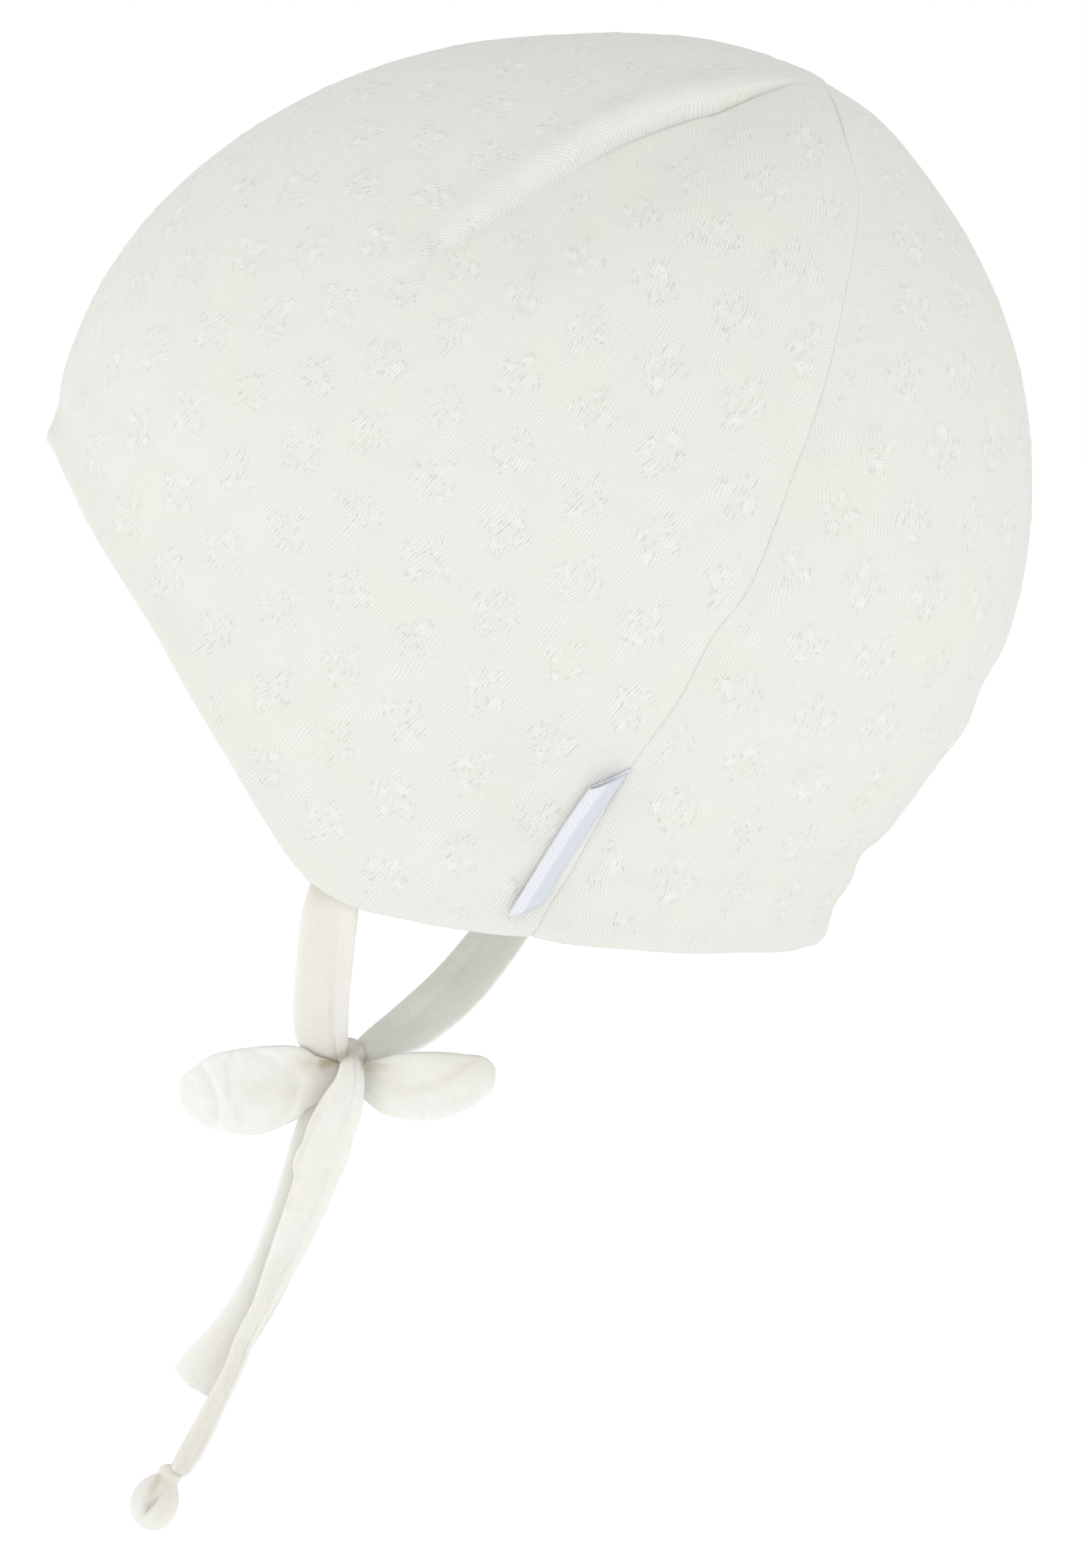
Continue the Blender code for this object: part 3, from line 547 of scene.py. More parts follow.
def coarse_mesh(places, cut_columns, cut_rows):
    """Sheet through places[column][row], whose first row is one point, with cuts marked down some columns."""
    columns, rows = places.shape[:2]
    ids = fan_ids(columns, rows)
    faces = [face for face, _ in grid_faces(ids, places[..., :2], places[..., :2])]
    mesh = bpy.data.meshes.new("flat_pattern")
    mesh.from_pydata(fan_points(places).tolist(), [], faces)
    cuts = {frozenset((int(ids[c, r]), int(ids[c, r + 1]))) for c in cut_columns for r in range(cut_rows)}
    for edge in mesh.edges:
        edge.use_seam = frozenset(edge.vertices) in cuts
    return mesh


def linked(name, data):
    """Adds an object to the scene, unturned at the origin."""
    made = bpy.data.objects.new(name, data)
    bpy.context.scene.collection.objects.link(made)
    return made


def flattened(places, cut_columns, cut_rows):
    """Lays a coarse panel flat. Gives each node's place on the flat cloth, in metres with the middle line
    along the first axis, as seen from the cell after it and from the cell before it."""
    columns, rows = places.shape[:2]
    mesh = coarse_mesh(places, cut_columns, cut_rows)
    mesh.uv_layers.new(name="flat")
    pattern = linked("flat_pattern", mesh)
    bpy.ops.object.select_all(action="DESELECT")
    bpy.context.view_layer.objects.active = pattern
    pattern.select_set(True)
    bpy.ops.object.mode_set(mode="EDIT")
    bpy.ops.mesh.select_all(action="SELECT")
    bpy.ops.uv.unwrap(method="MINIMUM_STRETCH", margin=0.0)
    bpy.ops.object.mode_set(mode="OBJECT")
    corners = np.empty(len(mesh.loops) * 2)
    mesh.uv_layers[0].data.foreach_get("uv", corners)
    corners = corners.reshape(columns - 1, 3 + 4 * (rows - 2), 2)
    area = sum(face.area for face in mesh.polygons)
    bpy.data.objects.remove(pattern)
    bpy.data.meshes.remove(mesh)

    after = np.empty((columns, rows, 2))
    before = np.empty((columns, rows, 2))
    quads = corners[:, 3:].reshape(columns - 1, rows - 2, 4, 2)
    after[:-1, 0], before[1:, 0] = corners[:, 0], corners[:, 0]
    after[:-1, 1], before[1:, 1] = corners[:, 2], corners[:, 1]
    after[:-1, 2:], before[1:, 2:] = quads[:, :, 3], quads[:, :, 2]
    after[-1], before[0] = before[-1], after[0]

    x, y = np.moveaxis(np.stack([after[:-1, :-1], before[1:, :-1], before[1:, 1:], after[:-1, 1:]]), -1, 0)
    flat_area = abs(np.sum(x * np.roll(y, -1, axis=0) - np.roll(x, -1, axis=0) * y)) / 2
    middle = columns // 2
    run = after[middle, -1] - after[middle, 1]
    turn = -math.atan2(run[1], run[0])
    turned = np.array(((math.cos(turn), -math.sin(turn)), (math.sin(turn), math.cos(turn))))
    size = math.sqrt(area / flat_area)
    after, before = ((nodes - after[middle, -1]) @ turned.T * size for nodes in (after, before))
    swap = np.array((1.0, -1.0))
    even_after = (after + before[::-1] * swap) / 2
    return even_after, even_after[::-1] * swap, area


def finer(nodes):
    """Values of a grid on one with COARSE times the columns and rows, by smooth curves through them."""
    for axis in (0, 1):
        values = np.moveaxis(nodes, axis, 0)
        count = values.shape[0]
        flat_rows = smooth_path(values.reshape(count, -1), COARSE)
        nodes = np.moveaxis(flat_rows.reshape((-1,) + values.shape[1:]), 0, axis)
    return nodes


def finer_between(after, before, cuts):
    """The same for a flat pattern that is cut down some columns."""
    edges = [0, *cuts, len(after) - 1]
    fine_after, fine_before = [], []
    for start, end in zip(edges, edges[1:]):
        nodes = np.concatenate([after[start:end], before[end:end + 1]])
        part = finer(nodes)
        fine_after.append(part[:-1])
        fine_before.append(part[1:])
    after = np.concatenate(fine_after + [fine_before[-1][-1:]])
    before = np.concatenate([fine_after[0][:1]] + fine_before)
    return after, before


def dot_height(cloth):
    """The puffed dots, from 0 to 1, at places on the flat cloth in metres."""
    row = cloth[..., 0] * 1000 / ROW_PITCH
    across = cloth[..., 1] * 1000 / MOTIF_PITCH + 0.5 * np.floor(row)
    along = np.abs((row % 1 - 0.5) * ROW_PITCH)
    across = np.abs((across % 1 - 0.5) * MOTIF_PITCH)
    distance = np.minimum(np.hypot(along - DOT_ALONG, across), np.hypot(along, across - DOT_ACROSS))
    return eased((DOT_RADIUS - distance) / (0.6 * DOT_RADIUS))


def panel(name, places, normals, heights, grooves, clear, after, before, finish):
    """Closed cloth panel: a fine outer side, a round rim, and a coarse inner side one WALL below."""
    columns, rows = places.shape[:2]
    smooth = places + normals * heights[..., None]
    outer = smooth + normals * (grooves + PUFF * dot_height(after) * clear)[..., None]

    towards_rim = unit(outer[:, -1] - outer[:, -2])
    rim_normal = normals[:, -1]
    rim_normal = unit(rim_normal - towards_rim * np.sum(rim_normal * towards_rim, axis=-1, keepdims=True))
    centre = outer[:, -1] - rim_normal * WALL / 2
    turns = np.pi * np.arange(1, RIM_STEPS + 1) / RIM_STEPS
    rim = (centre[:, None] + WALL / 2 * (rim_normal[:, None] * np.cos(turns)[None, :, None]
                                         + towards_rim[:, None] * np.sin(turns)[None, :, None]))
    inner_depth = WALL + SEAM_BACKING * (grooves < -SEAM_BACKING_FROM)
    inner = (smooth - normals * inner_depth[..., None])[::COARSE, ::COARSE]

    ids = fan_ids(columns, rows)
    rim_ids = ids[-1, -1] + 1 + np.arange(columns * RIM_STEPS).reshape(columns, RIM_STEPS)
    inner_columns, inner_rows = inner.shape[:2]
    inner_ids = fan_ids(inner_columns, inner_rows - 1, rim_ids[-1, -1] + 1)
    inner_ids = np.concatenate([inner_ids, rim_ids[::COARSE, -1:]], axis=1)
    vertices = np.concatenate([fan_points(outer), rim.reshape(-1, 3), fan_points(inner[:, :-1])])

    step = unit(after[:, -1] - after[:, -2])
    rim_cloth = after[:, -1:] + step[:, None] * (turns * WALL / 2)[None, :, None]
    inner_after, inner_before = (cloth[::COARSE, ::COARSE][:, :-1] for cloth in (after, before))
    cloth = np.concatenate([fan_points(after), rim_cloth.reshape(-1, 2), fan_points(inner_after)])

    faces, face_cloth = [], []

    def take(face, flat, order):
        faces.append(face[::order])
        face_cloth.extend(flat[::order])

    edge = np.concatenate([ids[:, -1:], rim_ids], axis=1)
    grids = ((ids, after, before, 1), (inner_ids[:, :-1], inner_after, inner_before, -1),
             (edge, cloth[edge], cloth[edge], 1))
    for grid, left, right, order in grids:
        for face, flat in grid_faces(grid, left, right):
            take(face, flat, order)
    for place in range(inner_columns - 1):
        outside = rim_ids[place * COARSE:(place + 1) * COARSE + 1, -1]
        face = [*inner_ids[place:place + 2, -2].tolist(), *outside[::-1].tolist()]
        take(face, cloth[face].tolist(), -1)
    for column, place, order in ((0, 0, 1), (columns - 1, inner_columns - 1, -1)):
        for row in range(inner_rows - 1):
            cut = ids[column, row * COARSE:(row + 1) * COARSE + 1].tolist()
            if row == inner_rows - 2:
                cut += rim_ids[column, :-1].tolist()
            face = cut + inner_ids[place, row:row + 2][::-1].tolist()
            take(face, cloth[face].tolist(), order)

    relief = np.zeros(len(vertices))
    relief[ids] = clear
    return finished(name, vertices, faces, face_cloth, finish, "relief", relief)


def finished(name, vertices, faces, face_cloth, finish, mark, marks):
    """Adds a piece to the scene: its mesh, its corners' places on the flat cloth, its material, and a value
    from 0 to 1 at each point that the material reads."""
    mesh = bpy.data.meshes.new(name)
    mesh.from_pydata(vertices.tolist(), [], faces)
    mesh.uv_layers.new(name="cloth").data.foreach_set("uv", np.array(face_cloth, np.float32).ravel())
    mesh.attributes.new(mark, "FLOAT", "POINT").data.foreach_set("value", marks.astype(np.float32))
    mesh.shade_smooth()
    mesh.materials.append(finish)
    return linked(name, mesh)


def add(tree, kind, values):
    """Adds a node. Its kind may be followed by the choice that CHOICES names. Each value goes to a setting
    or an input of the node, by name or number, and a node or an output among the values is linked."""
    kind, _, choice = kind.partition(" ")
    made = tree.nodes.new("ShaderNode" + kind)
    if choice:
        setattr(made, CHOICES[kind], choice)
    for name, value in values.items():
        if isinstance(value, bpy.types.Node):
            value = value.outputs[0]
        if isinstance(value, bpy.types.NodeSocket):
            tree.links.new(value, made.inputs[name])
        elif isinstance(name, str) and hasattr(made, name):
            setattr(made, name, value)
        else:
            made.inputs[name].default_value = value
    return made


def linear(code):
    """Linear colour of an sRGB hex value."""
    values = [int(code[place:place + 2], 16) / 255 for place in (0, 2, 4)]
    return [v / 12.92 if v <= 0.04045 else ((v + 0.055) / 1.055) ** 2.4 for v in values] + [1.0]


def new_material(name, look):
    """Material whose look is a function that adds nodes and gives the surface's values."""
    material = bpy.data.materials.new(name)
    material.use_nodes = True
    tree = material.node_tree
    tree.nodes.clear()
    add(tree, "OutputMaterial", {"Surface": add(tree, "BsdfPrincipled", look(tree))})
    return material


def drawn_out(tree, place, turns, distance):
    """Places drawn out of line by a soft random field."""
    field = add(tree, "TexNoise 2D", {"Vector": place, "Scale": turns, "Detail": 1.0})
    centred = add(tree, "VectorMath SUBTRACT", {0: field.outputs["Color"], 1: (0.5, 0.5, 0.5)})
    return add(tree, "VectorMath MULTIPLY_ADD", {0: centred, 1: (distance, distance, 0.0), 2: place})


def stitches(tree, stretch, depth):
    """The knit's relief in millimetres of cloth: columns of stitches with a wave of loops along them, fuzz,
    and the soft lumps of cloth that was washed. The stretch is how far the cloth is drawn out of line.
    Gives the place on the cloth, the same drawn out of line, the loops and the height."""
    flat = add(tree, "UVMap", {"uv_map": "cloth"})
    millimetres = add(tree, "VectorMath SCALE", {0: flat, 3: 1000.0})
    drawn = drawn_out(tree, millimetres, STRETCH_TURNS, stretch)
    patches = add(tree, "TexNoise 2D", {"Vector": millimetres, "Scale": PATCH_TURNS, "Detail": 3.0})
    patchy = add(tree, "MapRange",
                 {"Value": patches, "From Min": 0.35, "From Max": 0.65, "To Min": 0.6, "To Max": 1.3})
    place = add(tree, "SeparateXYZ", {0: drawn_out(tree, drawn, WANDER_TURNS, WANDER)})
    wale_turn = add(tree, "Math MULTIPLY", {0: place.outputs["Y"], 1: math.pi / WALE})
    wale = add(tree, "Math ABSOLUTE", {0: add(tree, "Math SINE", {0: wale_turn})})
    lean = add(tree, "Math MULTIPLY", {0: wale, 1: LOOP_LEAN})
    course_turn = add(tree, "Math MULTIPLY_ADD", {0: place.outputs["X"], 1: 2 * math.pi / COURSE, 2: lean})
    course = add(tree, "Math SINE", {0: course_turn})
    loops = add(tree, "Math MULTIPLY_ADD", {0: course, 1: COURSE_SHARE, 2: wale})
    relief = add(tree, "Math MULTIPLY", {0: loops, 1: patchy})
    knit = add(tree, "Math MULTIPLY", {0: relief, 1: depth})
    fuzz = add(tree, "TexNoise 2D", {"Vector": millimetres, "Scale": FUZZ_TURNS})
    fuzzy = add(tree, "Math MULTIPLY_ADD", {0: fuzz, 1: FUZZ_DEPTH, 2: knit})
    lumps = add(tree, "TexNoise 2D", {"Vector": millimetres, "Scale": LUMP_TURNS})
    height = add(tree, "Math MULTIPLY_ADD", {0: lumps, 1: LUMP_DEPTH, 2: fuzzy})
    return millimetres, drawn, relief, height


def cotton(tree, millimetres):
    """Off-white of the jersey, a little warmer in places."""
    tone = add(tree, "TexNoise 2D", {"Vector": millimetres, "Scale": TONE_TURNS, "Detail": 3.0})
    cloth = add(tree, "ValToRGB", {"Fac": tone})
    ends = (0.36, JERSEY_COOL), (0.64, JERSEY_WARM)
    for element, (position, colour) in zip(cloth.color_ramp.elements, ends):
        element.position = position
        element.color = linear(colour)
    return cloth


def matt_cloth(tree, colour, height):
    """Matt, slightly fuzzy surface with the given colour and relief in millimetres."""
    ridges = add(tree, "Bump", {"Strength": 1.0, "Distance": 0.001, "Height": height})
    return {"Base Color": colour, "Normal": ridges, "Roughness": 0.92, "Specular IOR Level": 0.25,
            "Sheen Weight": 0.12, "Sheen Roughness": 0.6}


def plain_jersey(tree):
    """The ties' jersey: the same yarn and knit without the dots, soft enough to let some light through, with
    yellowish painted shade in the bow's deep creases and over parts of the ties."""
    millimetres, _, _, height = stitches(tree, TIE_STRETCH, TIE_STITCH_DEPTH)
    mottle = add(tree, "TexNoise 2D", {"Vector": millimetres, "Scale": MOTTLE_TURNS, "Detail": 3.0})
    faint = add(tree, "MapRange",
                {"Value": mottle, "From Min": 0.35, "From Max": 0.65, "To Min": 0.12, "To Max": 0.0})
    soft = add(tree, "Mix RGBA", {0: faint, 6: cotton(tree, millimetres), 7: linear(HOLLOW_SHADE_AND_MOTTLE)})
    # The tint attribute holds painted shade: in the bow's creases and over parts of the ties
    tint = add(tree, "Attribute", {"attribute_name": "tint"})
    with_painted_shade = add(tree, "Mix RGBA", {0: tint.outputs["Fac"], 6: soft.outputs[2], 7: linear(PAINTED_TIE_SHADE)})
    return matt_cloth(tree, with_painted_shade.outputs[2], height) | {
        "Subsurface Weight": 0.6, "Subsurface Radius": (1.0, 1.0, 0.9), "Subsurface Scale": 0.0022}


def dot_distance(tree, drawn):
    """Distance to the nearest dot, in millimetres. Four dots stand in a diamond, and the diamonds in rows
    that are each shifted by half a step."""
    repeats = add(tree, "VectorMath MULTIPLY", {0: drawn, 1: (1 / ROW_PITCH, 1 / MOTIF_PITCH, 0.0)})
    count = add(tree, "SeparateXYZ", {0: repeats})
    row = add(tree, "Math FLOOR", {0: count.outputs["X"]})
    half_drop = add(tree, "Math MULTIPLY_ADD", {0: row, 1: 0.5, 2: count.outputs["Y"]})
    shifted = add(tree, "CombineXYZ", {"X": count.outputs["X"], "Y": half_drop})
    part = add(tree, "VectorMath FRACTION", {0: shifted})
    middle = add(tree, "VectorMath SUBTRACT", {0: part, 1: (0.5, 0.5, 0.0)})
    sized = add(tree, "VectorMath MULTIPLY", {0: middle, 1: (ROW_PITCH, MOTIF_PITCH, 0.0)})
    corner = add(tree, "VectorMath ABSOLUTE", {0: sized})
    to_end, to_side = (add(tree, "VectorMath DISTANCE", {0: corner, 1: dot}).outputs["Value"]
                       for dot in ((DOT_ALONG, 0.0, 0.0), (0.0, DOT_ACROSS, 0.0)))
    return add(tree, "Math MINIMUM", {0: to_end, 1: to_side})


def blister_jersey(tree):
    """Combed cotton jersey, knitted in wales 0.55 mm apart with raised blister dots on the outer side. It
    is matt and a little fuzzy. The dots are soft, uneven and paler, partly by painted highlight, with
    short slots round them; the slots and the knit's hollows are darkened with painted shade."""
    millimetres, drawn, loops, height = stitches(tree, JERSEY_STRETCH, STITCH_DEPTH)
    # Painted shade in the knit's hollows between the loops
    hollow_shade = add(tree, "MapRange",
                 {"Value": loops, "From Min": -0.3, "From Max": 1.3, "To Min": HOLLOW_SHADE_SHARE, "To Max": 0.0})
    shaded = add(tree, "Mix RGBA", {0: hollow_shade, 6: cotton(tree, millimetres), 7: linear(HOLLOW_SHADE_AND_MOTTLE)})

    # Dots: paler where the cloth puffs up, partly painted highlight on the raised cloth, each a little out of
    # shape, some weaker than others
    distance = dot_distance(tree, drawn_out(tree, drawn, DOT_WANDER_TURNS, DOT_WANDER))
    relief = add(tree, "Attribute", {"attribute_name": "relief"}).outputs["Fac"]
    puff = add(tree, "MapRange SMOOTHSTEP",
               {"Value": distance, "From Min": 1.15 * DOT_RADIUS, "From Max": 0.3 * DOT_RADIUS})
    chance = add(tree, "TexNoise 2D", {"Vector": millimetres, "Scale": CHANCE_TURNS, "Detail": 1.0})
    strength = add(tree, "MapRange",
                   {"Value": chance, "From Min": 0.35, "From Max": 0.62, "To Min": 0.15, "To Max": 1.0})
    uneven = add(tree, "Math MULTIPLY", {0: puff, 1: strength})
    raised = add(tree, "Math MULTIPLY", {0: uneven, 1: relief})
    with_puff = add(tree, "Math MULTIPLY_ADD", {0: raised, 1: PUFF_BUMP, 2: height})
    lightened = add(tree, "Math MULTIPLY", {0: raised, 1: PUFF_TONE_AND_HIGHLIGHT_SHARE})
    puffed = add(tree, "Mix RGBA", {0: lightened, 6: shaded.outputs[2], 7: linear(PUFF_TONE_AND_HIGHLIGHT)})

    # Slots: short lines of painted shade along the wales, strewn round the dots
    lengthwise = add(tree, "VectorMath MULTIPLY", {0: drawn, 1: SLOT_TURNS})
    streaks = add(tree, "TexNoise 2D", {"Vector": lengthwise, "Scale": 1.0, "Detail": 1.0})
    line = add(tree, "MapRange SMOOTHSTEP", {"Value": streaks, "From Min": 0.62, "From Max": 0.74})
    around = add(tree, "MapRange SMOOTHSTEP",
                 {"Value": distance, "From Min": 2.1 * DOT_RADIUS, "From Max": 0.9 * DOT_RADIUS})
    clear = add(tree, "Math MULTIPLY", {0: relief, 1: 3.0, "use_clamp": True})
    near_dots = add(tree, "Math MULTIPLY", {0: around, 1: clear})
    slot = add(tree, "Math MULTIPLY", {0: line, 1: near_dots})
    slotted = add(tree, "Math MULTIPLY_ADD", {0: slot, 1: -SLOT_DEPTH, 2: with_puff})
    darkened = add(tree, "Math MULTIPLY", {0: slot, 1: SLOT_SHARE})
    dark = add(tree, "Mix RGBA", {0: darkened, 6: puffed.outputs[2], 7: linear(SLOT_SHADE)})
    return matt_cloth(tree, dark.outputs[2], slotted)


def satin_ribbon(tree):
    """Bluish white satin ribbon, woven fine on the slant. It is smooth, brightest along its rolled fold and
    greyer on the flat beside it."""
    cloth = add(tree, "UVMap", {"uv_map": "cloth"})
    wave = add(tree, "TexWave", {"Vector": cloth, "wave_type": "BANDS", "bands_direction": "DIAGONAL",
                                 "Scale": TWILL_TURNS, "Distortion": 0.0})
    twill = wave.outputs["Fac"]
    ridge = add(tree, "Bump", {"Strength": 0.25, "Distance": 0.00006, "Height": twill})
    tone = add(tree, "Mix RGBA", {0: twill, 6: linear(RIBBON_SHADE), 7: linear(RIBBON_WHITE)})
    tint = add(tree, "Attribute", {"attribute_name": "tint"})
    faced = add(tree, "Mix RGBA", {0: tint.outputs["Fac"], 6: tone.outputs[2], 7: linear(RIBBON_FACE)})
    return {"Base Color": faced.outputs[2], "Normal": ridge, "Roughness": 0.42, "Specular IOR Level": 0.45,
            "Sheen Weight": 0.1, "Sheen Roughness": 0.4}


def white_paper(tree):
    """White paper on a light table: matt, even and a little brighter than what stands on it."""
    grain = add(tree, "TexNoise", {"Scale": 40.0})
    tone = add(tree, "Mix RGBA", {0: grain.outputs["Fac"], 6: linear(FLOOR_GRAIN), 7: linear(FLOOR_WHITE)})
    return {"Base Color": tone.outputs[2], "Roughness": 0.95, "Specular IOR Level": 0.1,
            "Emission Color": (1.0, 1.0, 1.0, 1.0), "Emission Strength": TABLE_GLOW}


def studio_sky():
    """White walls all round under a dimmer ceiling, so that the crown is a little darker than the sides."""
    world = bpy.data.worlds.new("studio_sky")
    world.use_nodes = True
    tree = world.node_tree
    tree.nodes.clear()
    direction = add(tree, "TexCoord", {}).outputs["Generated"]
    height = add(tree, "SeparateXYZ", {0: direction}).outputs["Z"]
    overhead = add(tree, "MapRange SMOOTHSTEP",
                   {"Value": height, "From Min": WALL_TOP, "From Max": CEILING_FROM,
                    "To Min": 1.0, "To Max": CEILING_LIGHT})
    light = add(tree, "Background", {"Color": (1.0, 1.0, 1.0, 1.0), "Strength": overhead})
    add(tree, "OutputWorld", {"Surface": light})
    bpy.context.scene.world = world


def jersey_panel(name, surfaces, row_shares, shift, finish, darts=()):
    """A jersey panel from its places, normals, heights and seam grooves, with darts down some columns.
    Gives the area and the flat cloth too."""
    places = surfaces[0]
    cuts = [column // COARSE for column in darts]
    cut_rows = round(CUT_SHARE * (len(row_shares) - 1) / COARSE)
    after, before, area = flattened(places[::COARSE, ::COARSE], cuts, cut_rows)
    after, before = (cloth + np.array(shift) for cloth in finer_between(after, before, cuts))
    clear = clear_of_edges(places, row_shares)
    for column in darts:
        from_dart = np.linalg.norm(places - places[column][None], axis=-1)
        clear = clear * np.where(row_shares[None] < DART_SHARE, eased(risen(from_dart, *DART_CLEAR)), 1.0)
    return panel(name, *surfaces, clear, after, before, finish), area, after


def front_panel(finish):
    row_shares = np.arange(FRONT_ROWS + 1) / FRONT_ROWS * LAST_ROW_SHARE
    middle = guide(MIDDLE_FRONT, FACE_EDGE_UPPER[0], row_shares, in_middle=True)
    dart = guide(DART_LINE, FACE_EDGE_LOWER[0], row_shares)
    ear = guide(EAR_LINE, HEM_FRONT[0], row_shares)
    seam = guide(SIDE_SEAM, HEM_BACK[0], row_shares)
    forehead = strip(middle, dart, FACE_EDGE_UPPER, crowded(*FOREHEAD_GRID), row_shares)
    cheek = strip(dart, ear, FACE_EDGE_LOWER, crowded(*CHEEK_GRID), row_shares)
    flap = strip(ear, seam, HEM_FRONT, crowded(*FLAP_GRID), row_shares)
    columns = np.concatenate([forehead, cheek[1:], flap[1:]])[::-1]
    dart_column = CHEEK_GRID[0] + FLAP_GRID[0]
    darts = (dart_column, 2 * len(columns) - 2 - dart_column)
    surfaces = panel_surface(columns, row_shares, dart_column)
    return jersey_panel("jersey_front", surfaces, row_shares, FRONT_SHIFT, finish, darts)


def back_panel(finish):
    row_shares = np.arange(BACK_ROWS + 1) / BACK_ROWS * LAST_ROW_SHARE
    seam = guide(SIDE_SEAM, HEM_BACK[0], row_shares)
    middle = guide(MIDDLE_BACK, HEM_BACK[-1], row_shares, in_middle=True)
    columns = strip(seam, middle, HEM_BACK, crowded(*BACK_GRID), row_shares)
    surfaces = tuple(values[::-1] for values in panel_surface(columns, row_shares))
    return jersey_panel("jersey_back", surfaces, row_shares, BACK_SHIFT, finish)


def clear_of_edges(places, row_shares):
    """How far the dots are raised, from 0 at the seams, the hem and the crown to 1. They are nearly flat
    where the head draws the side smooth."""
    from_seam = np.minimum(*(np.linalg.norm(places - seam, axis=-1) for seam in (places[:1], places[-1:])))
    from_rim = (row_shares[-1] - row_shares)[None] * PANEL_LENGTH
    from_crown = row_shares[None] * PANEL_LENGTH
    on_left = np.concatenate([np.abs(places[..., :1]), places[..., 1:]], axis=-1)
    from_calm = np.linalg.norm(on_left - np.array(CALM_SPOT), axis=-1)
    calm = 1 - CALM_SHARE * bump(from_calm, CALM_REACH)
    return (risen(from_seam, *SEAM_CLEAR) * risen(from_rim, *RIM_CLEAR)
            * risen(from_crown, *CROWN_CLEAR) * calm)


def flat_tube(name, route, finish, relief, ends, thickness):
    """Flattened sewn tube along a route. The relief gives how far its face and its back stand off the
    middle, as shares of half the thickness, at a share along it and a place across it from -1 to 1. Each
    end is drawn together over a length in tie widths. Gives the middle line too."""
    path = smooth_path(route)
    path[:, :3] /= 1000
    length = np.linalg.norm(np.diff(path[:, :3], axis=0), axis=1).sum()
    count = round(length / TUBE_STEP)
    share = np.arange(count + 1) / count
    rows = spaced(path, share, path[:, :3])
    places = rows[:, :3]
    ahead = unit(np.gradient(places, axis=0))
    across = unit(rows[:, 4:7] - ahead * np.sum(rows[:, 4:7] * ahead, axis=1, keepdims=True))
    face = np.cross(across, ahead)

    turn = 2 * np.pi * np.arange(TUBE_AROUND) / TUBE_AROUND
    beside = np.sign(np.cos(turn)) * np.abs(np.cos(turn)) ** TUBE_EDGE
    over = np.sign(np.sin(turn)) * np.abs(np.sin(turn)) ** TUBE_FACE
    to_start, to_end = (np.clip(length * part / (end * TIE_WIDTH), TUBE_TIP, 1)
                        for part, end in ((share, ends[0]), (1 - share, ends[1])))
    taper = np.minimum(to_start, to_end) ** 0.5
    width = rows[:, 3] * TIE_WIDTH / 2 * taper
    height = thickness / 2 * relief(share[:, None], beside[None], np.sign(over)[None]) * taper[:, None]
    rings = (places[:, None] + across[:, None] * (beside[None] * width[:, None])[..., None]
             + face[:, None] * (over[None] * height)[..., None])
    outline = np.stack([np.append(beside, beside[0]) * TIE_WIDTH, np.append(over, over[0]) * thickness]) / 2
    wrap = np.append(0.0, np.cumsum(np.linalg.norm(np.diff(outline, axis=1), axis=0)))
    return ring_piece(name, rings, share * length, wrap, finish), places


def ring_piece(name, rings, along, wrap, finish, tint=None):
    """Closed piece through rings of points, capped at both ends and turned outwards. Along and wrap tell
    where the rings and the points round them lie on the flat cloth. Without a tint the piece takes the
    painted shade of PAINTED_SHADE_LINES."""
    rows, around = rings.shape[:2]
    ids = np.arange(rows * around).reshape(rows, around)
    following = np.roll(ids, -1, axis=1)
    faces = np.stack([ids[:-1], following[:-1], following[1:], ids[1:]], axis=-1).reshape(-1, 4).tolist()
    faces += [ids[0][::-1].tolist(), ids[-1].tolist()]
    cloth = [corner for start, end in zip(along, along[1:rows]) for low, high in zip(wrap, wrap[1:])
             for corner in ((start, low), (start, high), (end, high), (end, low))]
    cloth += [(0.0, low) for low in wrap[-2::-1]] + [(along[-1], low) for low in wrap[:-1]]
    points = rings.reshape(-1, 3)
    tint = painted_shade_at(points) if tint is None else tint
    piece = finished(name, points, faces, cloth, finish, "tint", tint)
    if sum(face.center.dot(face.normal) * face.area for face in piece.data.polygons) < 0:
        piece.data.flip_normals()
    return piece


def closed_rings(name, rings, finish, tint=None):
    """The same, laid flat by its length and its greatest girth."""
    rows, around = rings.shape[:2]
    closed = np.concatenate([rings, rings[:, :1]], axis=1)
    girth = np.linalg.norm(np.diff(closed, axis=1), axis=-1).sum(axis=1).max()
    length = np.linalg.norm(np.diff(rings.mean(axis=1), axis=0), axis=-1).sum()
    along = np.arange(rows + 1) * length / rows
    return ring_piece(name, rings, along, np.arange(around + 1) * girth / around, finish, tint)


def tie_seat(side):
    """Rows of a tie's route where it lies on the inner face of its ear flap, down to the hem."""
    along, up = TIE_SEAT
    rows = []
    for tuck in (TIE_TUCK, TIE_TUCK / 2, 0.0):
        direction = direction_at([(along, up + tuck / CROWN_HEIGHT)])
        normal = outward(direction)[0]
        place = 1000 * (on_form(direction)[0] - normal * (WALL + HEM_ROLL + CLEARANCE + TIE_THICKNESS / 2))
        across = unit(np.cross(normal, (0.0, 0.0, -1.0)))
        across *= 1 if across[1] > 0 else -1
        rows.append((side * place[0], place[1], place[2], 1.0, side * across[0], across[1], across[2]))
    return tuple(rows)


def tail_route(rows):
    """Rows of a tail's route with their whole way across."""
    return [(*row[:4], *TAIL_ACROSS, row[4]) for row in rows]


